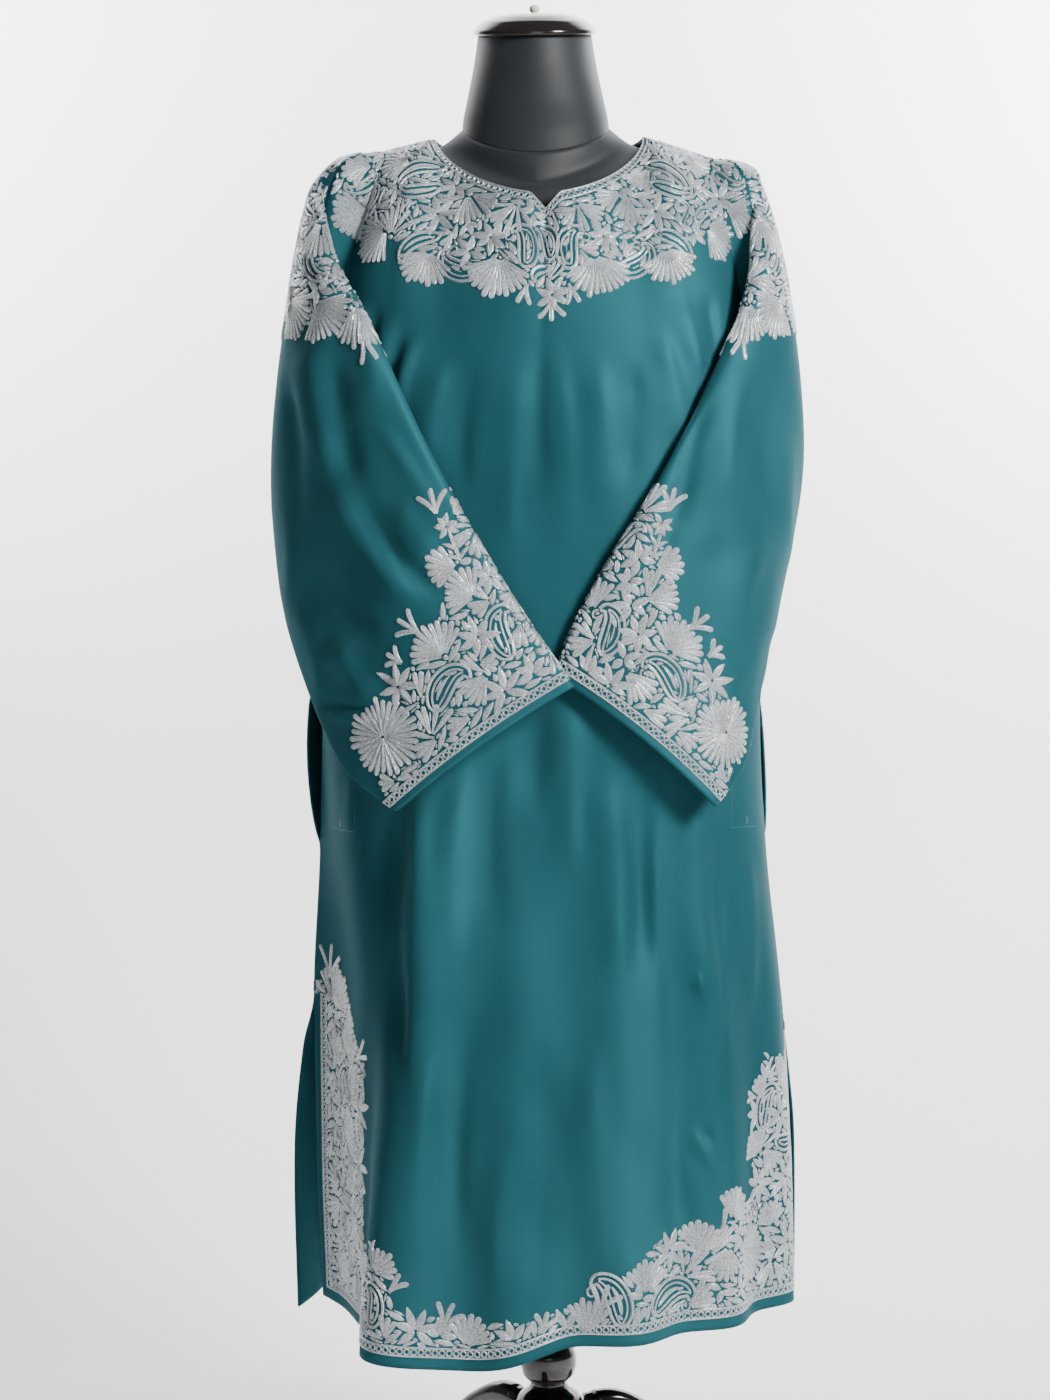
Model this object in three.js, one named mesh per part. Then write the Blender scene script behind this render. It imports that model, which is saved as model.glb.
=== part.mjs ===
// An embroidered velvet pheran (a loose Kashmiri tunic) on a limbless dress form with a tripod stand.
// Millimetres, +Z up. The wearer's front faces -Y. Every piece of cloth is a 2 mm wall.
import * as THREE from 'three';

// ---- Driving sizes ----
const CLOTH = 2;                     // thickness of the velvet wall
const SEAM = 0.3;                    // gap between two pieces at a seam
const REST_GAP = 0.4;                // gap between a piece and what carries it
const NECK = {
  left: 96, right: 102, side: 1395,
  notchX: 8, notchY: -95, notchZ: 1322, notchHalf: 14, notchDepth: 15,
};
const NECK_CURVE = { fall: 1.2, round: 1.1, notchForward: 2 };
const BACK_NECK = { y: 66, z: 1376, fall: 1.6, round: 0.9 };
const SHOULDER = { left: 148, right: 170, leftZ: 1383, rightZ: 1373 };
const ARMHOLE = { x: 206, bottomZ: 1130, halfWidth: 58, round: 0.85, lean: 6 };
// The pocket in each side seam swells the back panel's edge.
const POCKETS = {
  left: { topZ: 915, bottomZ: 722, out: 15, back: 7.5 },
  right: { topZ: 860, bottomZ: 722, out: 6, back: 7.5 },
};
const POCKET_SWELL = { fromAt: 0.7, round: 0.7 };
const NECK_SHARE = 0.5;              // share of each half panel that hangs from the neckline

// Half widths, depths and corner squareness of the body at each height.
const BODY = [
  { z: 230, left: 220, right: 239, front: 226, back: 166, flap: 38,
    leftPower: 5.0, rightPower: 1.75, backPower: 2.3 },
  { z: 420, left: 225, right: 237, front: 206, back: 150, flap: 46,
    leftPower: 4.4, rightPower: 1.9, backPower: 2.4 },
  { z: 564, left: 225, right: 230, front: 187, back: 136, flap: 46,
    leftPower: 3.6, rightPower: 2.1, backPower: 2.5 },
  { z: 710, left: 217, right: 216, front: 166, back: 126, flap: 22,
    leftPower: 2.9, rightPower: 2.3, backPower: 2.6 },
  { z: 820, left: 213, right: 210, front: 156, back: 118, flap: 6,
    leftPower: 2.6, rightPower: 2.5, backPower: 2.6 },
  { z: 980, left: 210, right: 210, front: 151, back: 108, flap: 0,
    leftPower: 2.6, rightPower: 2.6, backPower: 2.6 },
  { z: 1130, left: 206, right: 206, front: 150, back: 105, flap: 0,
    leftPower: 2.6, rightPower: 2.6, backPower: 2.6 },
];

// How far each side edge of the front and of the back panel stands off the side seam.
const SIDE_EDGES = [
  { z: 230, frontLeftY: 5, frontRightY: -16, backLeftX: 28, backLeftY: 30, backRightX: 5, backRightY: 26 },
  { z: 420, frontLeftY: 4, frontRightY: -9, backLeftX: 23, backLeftY: 22, backRightX: 8, backRightY: 24 },
  { z: 520, frontLeftY: 0, frontRightY: -3, backLeftX: 12, backLeftY: 8, backRightX: 3, backRightY: 9 },
  { z: 575, frontLeftY: 0, frontRightY: 0, backLeftX: 0, backLeftY: 0, backRightX: 0, backRightY: 0 },
  { z: 700, frontLeftY: 0, frontRightY: 0, backLeftX: 0, backLeftY: 0, backRightX: 0, backRightY: 0 },
];

const SIDE_CURL = 4;                 // how close to the edge the cloth turns out to it

// Folds of each panel: places run from -1 (left edge) to 1 (right edge). A positive depth is a ridge.
const FRONT_FOLDS = [
  { topAt: -0.30, hemAt: -0.43, startZ: 930, width: 0.09, depth: 18 },
  { topAt: -0.46, hemAt: -0.62, startZ: 900, width: 0.09, depth: -8 },
  { topAt: -0.16, hemAt: -0.22, startZ: 800, width: 0.10, depth: -8 },
  { topAt: -0.06, hemAt: -0.09, startZ: 760, width: 0.08, depth: 6 },
  { topAt: 0.05, hemAt: 0.06, startZ: 780, width: 0.11, depth: -15 },
  { topAt: 0.20, hemAt: 0.24, startZ: 820, width: 0.08, depth: 6 },
  { topAt: 0.34, hemAt: 0.40, startZ: 880, width: 0.08, depth: -10 },
  { topAt: 0.48, hemAt: 0.55, startZ: 860, width: 0.08, depth: 8 },
  { topAt: 0.64, hemAt: 0.71, startZ: 840, width: 0.08, depth: -9 },
  { topAt: 0.80, hemAt: 0.86, startZ: 700, width: 0.07, depth: 7 },
];
const BACK_FOLDS = [
  { topAt: -0.72, hemAt: -0.76, startZ: 820, width: 0.09, depth: 9 },
  { topAt: -0.50, hemAt: -0.56, startZ: 980, width: 0.09, depth: -11 },
  { topAt: -0.28, hemAt: -0.33, startZ: 1050, width: 0.09, depth: 11 },
  { topAt: -0.06, hemAt: -0.08, startZ: 940, width: 0.10, depth: -10 },
  { topAt: 0.16, hemAt: 0.17, startZ: 1020, width: 0.09, depth: 9 },
  { topAt: 0.36, hemAt: 0.40, startZ: 900, width: 0.09, depth: -11 },
  { topAt: 0.58, hemAt: 0.62, startZ: 980, width: 0.09, depth: 9 },
  { topAt: 0.78, hemAt: 0.80, startZ: 760, width: 0.08, depth: -7 },
];

const FOLD = { endZ: 260, growth: 0.8, calmEdge: 0.12 };

// Hem heights along each panel.
const FRONT_HEM = [
  { at: -1, z: 272 }, { at: -0.5, z: 269 }, { at: -0.2, z: 260 }, { at: 0.1, z: 279 }, { at: 0.6, z: 281 },
  { at: 1, z: 279 },
];
const BACK_HEM = [
  { at: -1, z: 254 }, { at: -0.8, z: 268 }, { at: -0.4, z: 282 }, { at: 0.4, z: 286 }, { at: 1, z: 281 },
];

// Sleeve rings: top fold, underarm fold, half thickness, the way the outer layer faces (90 is back, 0 is out,
// -90 is front), bow away from the chord, and stand-off from the body.
const LEFT_SLEEVE = [
  { topX: -207, topY: -38, topZ: 1343, underX: -228, underY: -6, underZ: 1072,
    half: 35, turn: 60, bow: 5, clear: 6 },
  { topX: -196, topY: -94, topZ: 1290, underX: -240, underY: -14, underZ: 1034,
    half: 24, turn: 22, bow: 8, clear: 6 },
  { topX: -158, topY: -131, topZ: 1218, underX: -245, underY: -22, underZ: 1000,
    half: 17, turn: -8, bow: 18, clear: 6 },
  { topX: -113, topY: -154, topZ: 1122, underX: -242, underY: -38, underZ: 952,
    half: 14, turn: -30, bow: 25, clear: 6 },
  { topX: -70, topY: -164, topZ: 1040, underX: -229, underY: -64, underZ: 902,
    half: 12, turn: -45, bow: 30, clear: 6 },
  { topX: -31, topY: -166, topZ: 974, underX: -208, underY: -100, underZ: 850,
    half: 10, turn: -58, bow: 26, clear: 7 },
  { topX: 3, topY: -172, topZ: 922, underX: -180, underY: -138, underZ: 802,
    half: 8, turn: -70, bow: 18, clear: 9 },
  { topX: 29, topY: -181, topZ: 884, underX: -135, underY: -170, underZ: 770,
    half: 7, turn: -82, bow: 8, clear: 12 },
];
const RIGHT_SLEEVE = [
  { topX: 212, topY: -38, topZ: 1326, underX: 226, underY: -6, underZ: 1070,
    half: 35, turn: 60, bow: 4, clear: 6 },
  { topX: 208, topY: -82, topZ: 1272, underX: 232, underY: -14, underZ: 1030,
    half: 24, turn: 22, bow: 8, clear: 6 },
  { topX: 182, topY: -110, topZ: 1206, underX: 230, underY: -22, underZ: 992,
    half: 17, turn: -8, bow: 15, clear: 6 },
  { topX: 142, topY: -142, topZ: 1130, underX: 221, underY: -38, underZ: 942,
    half: 13, turn: -30, bow: 24, clear: 6 },
  { topX: 96, topY: -157, topZ: 1050, underX: 213, underY: -66, underZ: 896,
    half: 11, turn: -45, bow: 28, clear: 6 },
  { topX: 57, topY: -161, topZ: 990, underX: 201, underY: -100, underZ: 850,
    half: 9, turn: -58, bow: 24, clear: 6 },
  { topX: 28, topY: -161, topZ: 938, underX: 186, underY: -136, underZ: 805,
    half: 7, turn: -70, bow: 16, clear: 6 },
  { topX: 11, topY: -161, topZ: 892, underX: 158, underY: -166, underZ: 771,
    half: 6.5, turn: -82, bow: 8, clear: 8 },
];

// How full a sleeve's layers are, the way they bow, and how far the outer layer stands off the inner one.
const LAYERS = { round: 0.55, bowX: 0.85, bowY: -0.53, clear: 0.8, most: 16 };
// Above the armpit the chest falls back by this share, from one height up over another.
const CHEST = { share: 0.72, fromZ: 1200, overZ: 170 };

// The sleeve cap: how far the first ring stands out from and below the armhole, from its top to its foot.
const SLEEVE_CAP = [
  { share: 0, out: 34, down: 9 }, { share: 0.1, out: 24, down: 11 }, { share: 0.25, out: 14, down: 12 },
  { share: 0.5, out: 20, down: 12 }, { share: 0.8, out: 19, down: 15 }, { share: 1, out: 16, down: 18 },
];

// Dress form: rings of the torso, from the bottom up, and of the neck.
const TORSO = [
  { side: 740, front: 740, back: 740, half: 158, frontY: 108, backY: 100, power: 2.2 },
  { side: 800, front: 800, back: 800, half: 168, frontY: 114, backY: 104, power: 2.2 },
  { side: 900, front: 900, back: 900, half: 150, frontY: 106, backY: 96, power: 2.2 },
  { side: 1010, front: 1010, back: 1010, half: 118, frontY: 92, backY: 80, power: 2.1 },
  { side: 1110, front: 1110, back: 1110, half: 134, frontY: 116, backY: 84, power: 2.1 },
  { side: 1190, front: 1190, back: 1190, half: 148, frontY: 130, backY: 88, power: 2.1 },
  { side: 1262, front: 1250, back: 1258, half: 155, frontY: 116, backY: 82, power: 2.1 },
  { side: 1326, front: 1294, back: 1304, half: 156, frontY: 95, backY: 72, power: 2.0 },
  { side: 1358, front: 1326, back: 1332, half: 150, frontY: 78, backY: 64, power: 1.75 },
  { side: 1375, front: 1343, back: 1358, half: 135, frontY: 70, backY: 60, power: 1.65 },
  { side: 1387, front: 1349, back: 1375, half: 92, frontY: 65, backY: 57, power: 1.5 },
  { side: 1403, front: 1376, back: 1399, half: 70, frontY: 60, backY: 54, power: 2.0 },
];
const NECK_RINGS = [
  { side: 1403, front: 1376, back: 1399, half: 70, frontY: 60, backY: 54, power: 2.0 },
  { side: 1412, front: 1396, back: 1409, half: 69, frontY: 61, backY: 53, power: 2.0 },
  { side: 1431, front: 1424, back: 1436, half: 65, frontY: 66, backY: 52, power: 2.0 },
  { side: 1462, front: 1455, back: 1469, half: 58.5, frontY: 68, backY: 44, power: 2.0 },
  { side: 1490, front: 1482, back: 1498, half: 54, frontY: 66, backY: 40, power: 2.0 },
];
const NECK_LEAN = { y: -13, z: 1490, degrees: 8 };
const FORM_ROUND = 1.3;
// The cap and the knob: radius at each height over their own foot.
const CAP = [
  { z: 20, radius: 26 }, { z: 17.5, radius: 38 }, { z: 13, radius: 49 }, { z: 8, radius: 55 }, { z: 4, radius: 59 },
  { z: 0.8, radius: 59 }, { z: 0, radius: 57.5 },
];
const KNOB = [
  { z: 7, radius: 2.5 }, { z: 5.8, radius: 4.4 }, { z: 3.5, radius: 5 }, { z: 1, radius: 4.2 }, { z: 0, radius: 3.4 },
];

// Turned stand: radius of the pole at each height.
const POLE = [
  { z: 740 - REST_GAP, radius: 26 }, { z: 724, radius: 26 }, { z: 720, radius: 14 }, { z: 300, radius: 14 },
  { z: 238, radius: 15 }, { z: 228, radius: 19 }, { z: 222, radius: 23 }, { z: 214, radius: 27 },
  { z: 203, radius: 28 }, { z: 192, radius: 25 },
  { z: 184, radius: 17 }, { z: 179, radius: 20 }, { z: 172, radius: 30 }, { z: 160, radius: 35 }, { z: 120, radius: 35 },
  { z: 106, radius: 31 }, { z: 98, radius: 20 }, { z: 90, radius: 14 }, { z: 82, radius: 8 },
];
const LEG_AZIMUTHS = { leg_right: 14, leg_left: 134, leg_front: 254 };
const LEG = [
  { reach: 35.5, z: 146, tall: 46, wide: 24 }, { reach: 62, z: 152, tall: 40, wide: 24 },
  { reach: 98, z: 138, tall: 34, wide: 24 }, { reach: 136, z: 104, tall: 30, wide: 23 },
  { reach: 168, z: 66, tall: 27, wide: 22 }, { reach: 200, z: 36, tall: 25, wide: 22 },
  { reach: 226, z: 21, tall: 25, wide: 23 }, { reach: 248, z: 13, tall: 26, wide: 26 },
  { reach: 274, z: 12, tall: 24, wide: 28 }, { reach: 292, z: 11, tall: 22, wide: 22 },
];
const LEG_ROUND = 0.7;

// ---- Small maths helpers ----
const mix = (a, b, share) => a + (b - a) * share;
const clamp01 = (value) => Math.min(1, Math.max(0, value));
const smooth = (value) => { const t = clamp01(value); return t * t * (3 - 2 * t); };
const signedPower = (value, power) => Math.sign(value) * Math.abs(value) ** power;
const point = (x, y, z) => new THREE.Vector3(x, y, z);
const TINY = 0.001;

// Reads a named column of a table at a place between its rows, with a smooth curve that never overshoots.
function read(rows, key, place, column) {
  const last = rows.length - 1;
  if (place <= rows[0][key]) return rows[0][column];
  if (place >= rows[last][key]) return rows[last][column];
  const slope = (i) => (rows[i + 1][column] - rows[i][column]) / (rows[i + 1][key] - rows[i][key]);
  const tangent = (i) => {
    if (i === 0) return slope(0);
    if (i === last) return slope(last - 1);
    const before = slope(i - 1);
    const after = slope(i);
    return before * after <= 0 ? 0 : (2 * before * after) / (before + after);
  };
  let i = 0;
  while (rows[i + 1][key] < place) i += 1;
  const span = rows[i + 1][key] - rows[i][key];
  const t = (place - rows[i][key]) / span;
  const start = (2 * t ** 3 - 3 * t ** 2 + 1) * rows[i][column] + (t ** 3 - 2 * t ** 2 + t) * span * tangent(i);
  return start + (-2 * t ** 3 + 3 * t ** 2) * rows[i + 1][column] + (t ** 3 - t ** 2) * span * tangent(i + 1);
}

// ---- Body sections ----
// One quarter of a section: share 0 at the centre line, 1 at the side edge.
function quarterPoint(side, panel, z, share) {
  const isFront = panel < 0;
  const width = read(BODY, 'z', z, side < 0 ? 'left' : 'right');
  const depth = read(BODY, 'z', z, isFront ? 'front' : 'back');
  const power = read(BODY, 'z', z, isFront ? (side < 0 ? 'leftPower' : 'rightPower') : 'backPower');
  const sideName = side < 0 ? 'Left' : 'Right';
  const edgeY = read(SIDE_EDGES, 'z', z, `${isFront ? 'front' : 'back'}${sideName}Y`);
  const flap = isFront && side < 0 ? read(BODY, 'z', z, 'flap') : 0;
  const edgeX = isFront ? 0 : read(SIDE_EDGES, 'z', z, `back${sideName}X`);
  const angle = share * Math.PI / 2;
  const across = signedPower(Math.sin(angle), 2 / power);
  const out = signedPower(Math.cos(angle), 2 / power);
  const x = side * ((width - flap) * across + (flap + edgeX) * (1 - out) ** SIDE_CURL);
  return point(x, mix(edgeY, panel * depth, out), z);
}

// Quarter sections are walked at even steps of cloth, not of angle.
const QUARTER_STEPS = 48;
const quarterCache = new Map();
function quarterWalk(side, panel, z) {
  const name = `${side},${panel},${z.toFixed(2)}`;
  if (!quarterCache.has(name)) {
    const points = [];
    const lengths = [0];
    for (let i = 0; i <= QUARTER_STEPS; i += 1) {
      points.push(quarterPoint(side, panel, z, i / QUARTER_STEPS));
      if (i > 0) lengths.push(lengths[i - 1] + points[i].distanceTo(points[i - 1]));
    }
    quarterCache.set(name, { points, lengths });
  }
  return quarterCache.get(name);
}

function sectionPoint(panel, at, z) {
  const side = at < 0 ? -1 : 1;
  const { points, lengths } = quarterWalk(side, panel, z);
  const target = Math.abs(at) * lengths[QUARTER_STEPS];
  let i = 1;
  while (i < QUARTER_STEPS && lengths[i] < target) i += 1;
  const share = (target - lengths[i - 1]) / (lengths[i] - lengths[i - 1]);
  return points[i - 1].clone().lerp(points[i], share);
}

function foldDepth(folds, at, z) {
  let depth = 0;
  for (const fold of folds) {
    const along = (fold.startZ - z) / (fold.startZ - FOLD.endZ);
    const centre = mix(fold.topAt, fold.hemAt, clamp01(along));
    depth += fold.depth * smooth(along) ** FOLD.growth * Math.exp(-(((at - centre) / fold.width) ** 2));
  }
  return depth * smooth((1 - Math.abs(at)) / FOLD.calmEdge);
}

// ---- Panels ----
function armholePoint(side, panel, share) {
  const top = side < 0 ? SHOULDER.left : SHOULDER.right;
  const topZ = side < 0 ? SHOULDER.leftZ : SHOULDER.rightZ;
  const angle = share * Math.PI;
  const z = mix(topZ, ARMHOLE.bottomZ, (1 - Math.cos(angle)) / 2);
  const x = mix(ARMHOLE.x, top, (1 - share) ** ARMHOLE.lean);
  return point(side * x, panel * ARMHOLE.halfWidth * Math.sin(angle) ** ARMHOLE.round, z);
}

// The way into the armhole's opening near its top, which both walls at the seam follow.
const armholeInward = (panel, share) => point(0, -panel * Math.sin(share * Math.PI), -Math.cos(share * Math.PI));
const ARMHOLE_TOP_SHARE = 0.45;

function necklinePoint(panel, share) {
  const side = share < 0 ? -1 : 1;
  const angle = Math.abs(share) * Math.PI / 2;
  const half = side < 0 ? NECK.left : NECK.right;
  if (panel > 0) {
    const drop = (NECK.side - BACK_NECK.z) * Math.cos(angle) ** BACK_NECK.fall;
    return point(side * half * Math.sin(angle), BACK_NECK.y * Math.cos(angle) ** BACK_NECK.round, NECK.side - drop);
  }
  const centre = NECK.notchX * (1 - Math.abs(share));
  const x = centre + side * half * Math.sin(angle) ** NECK_CURVE.round;
  const fall = Math.cos(angle) ** NECK_CURVE.fall;
  const notch = clamp01(1 - Math.abs(x - NECK.notchX) / NECK.notchHalf);
  const z = NECK.side - (NECK.side - NECK.notchZ - NECK.notchDepth) * fall - NECK.notchDepth * notch;
  return point(x, NECK.notchY * fall - NECK_CURVE.notchForward * notch, z);
}

function topPoint(panel, at) {
  const side = at < 0 ? -1 : 1;
  const share = Math.abs(at);
  if (share <= NECK_SHARE) return necklinePoint(panel, at / NECK_SHARE);
  const along = (share - NECK_SHARE) / (1 - NECK_SHARE);
  const half = side < 0 ? NECK.left : NECK.right;
  const endX = side < 0 ? SHOULDER.left : SHOULDER.right;
  const endZ = side < 0 ? SHOULDER.leftZ : SHOULDER.rightZ;
  return point(side * mix(half, endX, along), 0, mix(NECK.side, endZ, along));
}

// Directions in which the cloth leaves its top edge and reaches the armpit level.
const YOKE = [
  { at: 0, frontOut: -34, frontDown: -62, backOut: 30, backDown: -50,
    frontRise: 70, backRise: 90, lean: 0, aside: 0 },
  { at: 0.3, frontOut: -46, frontDown: -44, backOut: 38, backDown: -36,
    frontRise: 90, backRise: 96, lean: 0, aside: 8 },
  { at: 0.5, frontOut: -74, frontDown: -10, backOut: 56, backDown: -8,
    frontRise: 100, backRise: 100, lean: 3, aside: 34 },
  { at: 0.75, frontOut: -68, frontDown: -12, backOut: 62, backDown: -10,
    frontRise: 90, backRise: 90, lean: 20, aside: 18 },
  { at: 0.9, frontOut: -70, frontDown: -18, backOut: 68, backDown: -16,
    frontRise: 70, backRise: 70, lean: 44, aside: 8 },
  { at: 1, frontOut: -76, frontDown: -26, backOut: 76, backDown: -26,
    frontRise: 30, backRise: 30, lean: 76, aside: 0 },
];

const TURN_STEP = 0.01;              // the step across a panel over which its direction is taken

const PANELS = {
  front: { sign: -1, folds: FRONT_FOLDS, hem: FRONT_HEM, columns: 37 },
  back: { sign: 1, folds: BACK_FOLDS, hem: BACK_HEM, columns: 25 },
};

// A point of a panel: at runs across from -1 to 1, down from 0 at the top edge to 2 at the hem (1 is the armpit).
function panelPoint(name, at, down) {
  const { sign, folds, hem } = PANELS[name];
  if (down <= 1) {
    if (Math.abs(at) >= 1) return armholePoint(Math.sign(at), sign, down);
    const start = topPoint(sign, at);
    const end = sectionPoint(sign, at, ARMHOLE.bottomZ);
    const share = Math.abs(at);
    const get = (column) => read(YOKE, 'at', share, `${name}${column}`);
    const aside = Math.sign(at) * read(YOKE, 'at', share, 'aside');
    const first = start.clone().add(point(aside, get('Out'), get('Down')));
    const second = end.clone().add(point(0, sign * read(YOKE, 'at', share, 'lean'), get('Rise')));
    return new THREE.CubicBezierCurve3(start, first, second, end).getPoint(down);
  }
  const hemZ = read(hem, 'at', at, 'z');
  const z = mix(ARMHOLE.bottomZ, hemZ, down - 1);
  const place = sectionPoint(sign, at, z);
  const ahead = sectionPoint(sign, Math.min(at + TURN_STEP, 1), z);
  const behind = sectionPoint(sign, Math.max(at - TURN_STEP, -1), z);
  const along = ahead.sub(behind).normalize();
  const depth = foldDepth(folds, at, z);
  place.x += -sign * along.y * depth;
  place.y += sign * along.x * depth;
  const pocket = at < 0 ? POCKETS.left : POCKETS.right;
  if (sign > 0 && z < pocket.topZ && z > pocket.bottomZ) {
    const height = (z - pocket.bottomZ) / (pocket.topZ - pocket.bottomZ);
    const near = smooth((Math.abs(at) - POCKET_SWELL.fromAt) / (1 - POCKET_SWELL.fromAt));
    const swell = Math.sin(Math.PI * height) ** POCKET_SWELL.round * near;
    place.x += Math.sign(at) * pocket.out * swell;
    place.y += pocket.back * swell;
  }
  return place;
}

// Both panels share their rows, so their seams and the armholes meet corner to corner.
const UPPER_ROWS = 10;
const LOWER_HEIGHTS = [1085, 1040, 990, 935, 877, 838, 799, 760, 721, 672, 623, 575, 530, 485, 435, 385, 332, 279];
const HEM_Z = LOWER_HEIGHTS[LOWER_HEIGHTS.length - 1];

function rowPlaces() {
  const rows = [];
  for (let i = 0; i <= UPPER_ROWS; i += 1) rows.push(i / UPPER_ROWS);
  for (const z of LOWER_HEIGHTS) rows.push(1 + (ARMHOLE.bottomZ - z) / (ARMHOLE.bottomZ - HEM_Z));
  return rows;
}

// ---- Walls of cloth ----
function makeGeometry(vertices, triangles) {
  const geometry = new THREE.BufferGeometry();
  const numbers = vertices.flatMap((v) => [v.x, v.y, v.z]);
  geometry.setAttribute('position', new THREE.Float32BufferAttribute(numbers, 3));
  geometry.setIndex(triangles);
  geometry.computeVertexNormals();
  return geometry;
}

// Normals of a grid of points, from its rows and columns.
function gridNormals(grid, closed) {
  const rows = grid.length;
  const columns = grid[0].length;
  return grid.map((row, r) => row.map((_, c) => {
    const up = grid[Math.max(r - 1, 0)][c];
    const low = grid[Math.min(r + 1, rows - 1)][c];
    const before = closed ? row[(c + columns - 1) % columns] : row[Math.max(c - 1, 0)];
    const after = closed ? row[(c + 1) % columns] : row[Math.min(c + 1, columns - 1)];
    return low.clone().sub(up).cross(after.clone().sub(before)).normalize();
  }));
}

// A closed wall: the outer grid, the same grid moved in by the cloth's thickness, and strips around the edges.
function wall(grid, inward, closed) {
  const rows = grid.length;
  const columns = grid[0].length;
  const inner = grid.map((row, r) => row.map((v, c) => v.clone().addScaledVector(inward[r][c], CLOTH)));
  const vertices = [...grid.flat(), ...inner.flat()];
  const triangles = [];
  const index = (layer, r, c) => layer * rows * columns + r * columns + (c % columns);
  const quad = (a, b, c, d) => triangles.push(a, b, c, a, c, d);
  const lastColumn = closed ? columns : columns - 1;
  for (let r = 0; r < rows - 1; r += 1) {
    for (let c = 0; c < lastColumn; c += 1) {
      quad(index(0, r, c), index(0, r + 1, c), index(0, r + 1, c + 1), index(0, r, c + 1));
      quad(index(1, r, c), index(1, r, c + 1), index(1, r + 1, c + 1), index(1, r + 1, c));
    }
  }
  for (let c = 0; c < lastColumn; c += 1) {
    quad(index(0, 0, c), index(0, 0, c + 1), index(1, 0, c + 1), index(1, 0, c));
    quad(index(0, rows - 1, c), index(1, rows - 1, c), index(1, rows - 1, c + 1), index(0, rows - 1, c + 1));
  }
  if (!closed) {
    const last = columns - 1;
    for (let r = 0; r < rows - 1; r += 1) {
      quad(index(0, r, 0), index(1, r, 0), index(1, r + 1, 0), index(0, r + 1, 0));
      quad(index(0, r, last), index(0, r + 1, last), index(1, r + 1, last), index(1, r, last));
    }
  }
  return turnOut(makeGeometry(vertices, triangles));
}

// Turns a closed mesh's faces outwards, whichever way its grid ran.
function turnOut(geometry) {
  const position = geometry.getAttribute('position');
  const order = geometry.getIndex().array;
  const at = (i) => new THREE.Vector3().fromBufferAttribute(position, i);
  let volume = 0;
  for (let i = 0; i < order.length; i += 3) volume += at(order[i]).dot(at(order[i + 1]).cross(at(order[i + 2])));
  if (volume < 0) {
    for (let i = 0; i < order.length; i += 3) [order[i + 1], order[i + 2]] = [order[i + 2], order[i + 1]];
  }
  return geometry;
}

// Panels: the side and shoulder edges are moved half a seam back, and stay in the seam's own plane.
function panelGeometry(name) {
  const panel = PANELS[name];
  const rows = rowPlaces();
  const grid = rows.map((down) => {
    const row = [];
    for (let c = 0; c < panel.columns; c += 1) {
      const at = -1 + (2 * c) / (panel.columns - 1);
      row.push(panelPoint(name, at, down).add(point(0, panel.sign * SEAM / 2, 0)));
    }
    return row;
  });
  const inward = gridNormals(grid, false);
  const middle = inward[Math.floor(rows.length / 2)][Math.floor(panel.columns / 2)];
  const flip = middle.y * panel.sign > 0 ? -1 : 1;
  inward.forEach((row, r) => row.forEach((normal, c) => {
    normal.multiplyScalar(flip);
    const at = -1 + (2 * c) / (panel.columns - 1);
    const isSide = Math.abs(at) >= 1;
    if (isSide && rows[r] > 0 && rows[r] < 1) normal.setX(0).normalize();
    if (isSide && rows[r] < ARMHOLE_TOP_SHARE) normal.copy(armholeInward(panel.sign, rows[r]));
    if (isSide && rows[r] >= 1) normal.setY(0).normalize();
    if (r === 0 && Math.abs(at) >= NECK_SHARE - TINY) normal.setY(0).normalize();
    if (isSide && rows[r] === 1) normal.set(-Math.sign(at), 0, 0);
  }));
  return wall(grid, inward, false);
}

// ---- Sleeves ----
const SLEEVE_POINTS = 2 * UPPER_ROWS;

// Distance of the body from its middle in one direction, at one height.
function bodyReach(x, y, z) {
  const level = Math.min(z, ARMHOLE.bottomZ);
  const side = x < 0 ? 'left' : 'right';
  const width = read(BODY, 'z', level, side);
  const depth = read(BODY, 'z', level, y < 0 ? 'front' : 'back');
  const power = read(BODY, 'z', level, y < 0 ? `${side}Power` : 'backPower');
  const radius = Math.hypot(x, y) || 1;
  const shrink = z > ARMHOLE.bottomZ && y < 0 ? mix(1, CHEST.share, smooth((z - CHEST.fromZ) / CHEST.overZ)) : 1;
  const inverse = (Math.abs(x / radius) / width) ** power + (Math.abs(y / radius) / (depth * shrink)) ** power;
  return inverse ** (-1 / power);
}

function clearOfBody(place, clearance) {
  const radius = Math.hypot(place.x, place.y);
  const least = bodyReach(place.x, place.y, place.z) + clearance;
  if (radius >= least) return place;
  return point(place.x * least / radius, place.y * least / radius, place.z);
}

// One ring of a sleeve, flattened between its top fold and its underarm fold.
function sleeveRing(side, row) {
  const top = point(row.topX, row.topY, row.topZ);
  const under = point(row.underX, row.underY, row.underZ);
  const chord = under.clone().sub(top);
  const square = (vector) => vector.addScaledVector(chord, -vector.dot(chord) / chord.lengthSq()).normalize();
  const turn = THREE.MathUtils.degToRad(row.turn);
  const facing = square(point(side * Math.cos(turn), Math.sin(turn), 0));
  const bowing = square(point(side * LAYERS.bowX, LAYERS.bowY, 0));
  const ring = [];
  for (let i = 0; i < SLEEVE_POINTS; i += 1) {
    const angle = (2 * Math.PI * i) / SLEEVE_POINTS;
    const along = (1 - Math.cos(angle)) / 2;
    const layer = signedPower(Math.sin(angle), LAYERS.round);
    const place = top.clone().addScaledVector(chord, along);
    place.addScaledVector(facing, row.half * layer);
    place.addScaledVector(bowing, row.bow * 4 * along * (1 - along));
    const apart = layer > 0 ? LAYERS.clear * Math.min(row.half, LAYERS.most) * layer : 0;
    ring.push(clearOfBody(place, row.clear + apart));
  }
  return ring;
}

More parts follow.
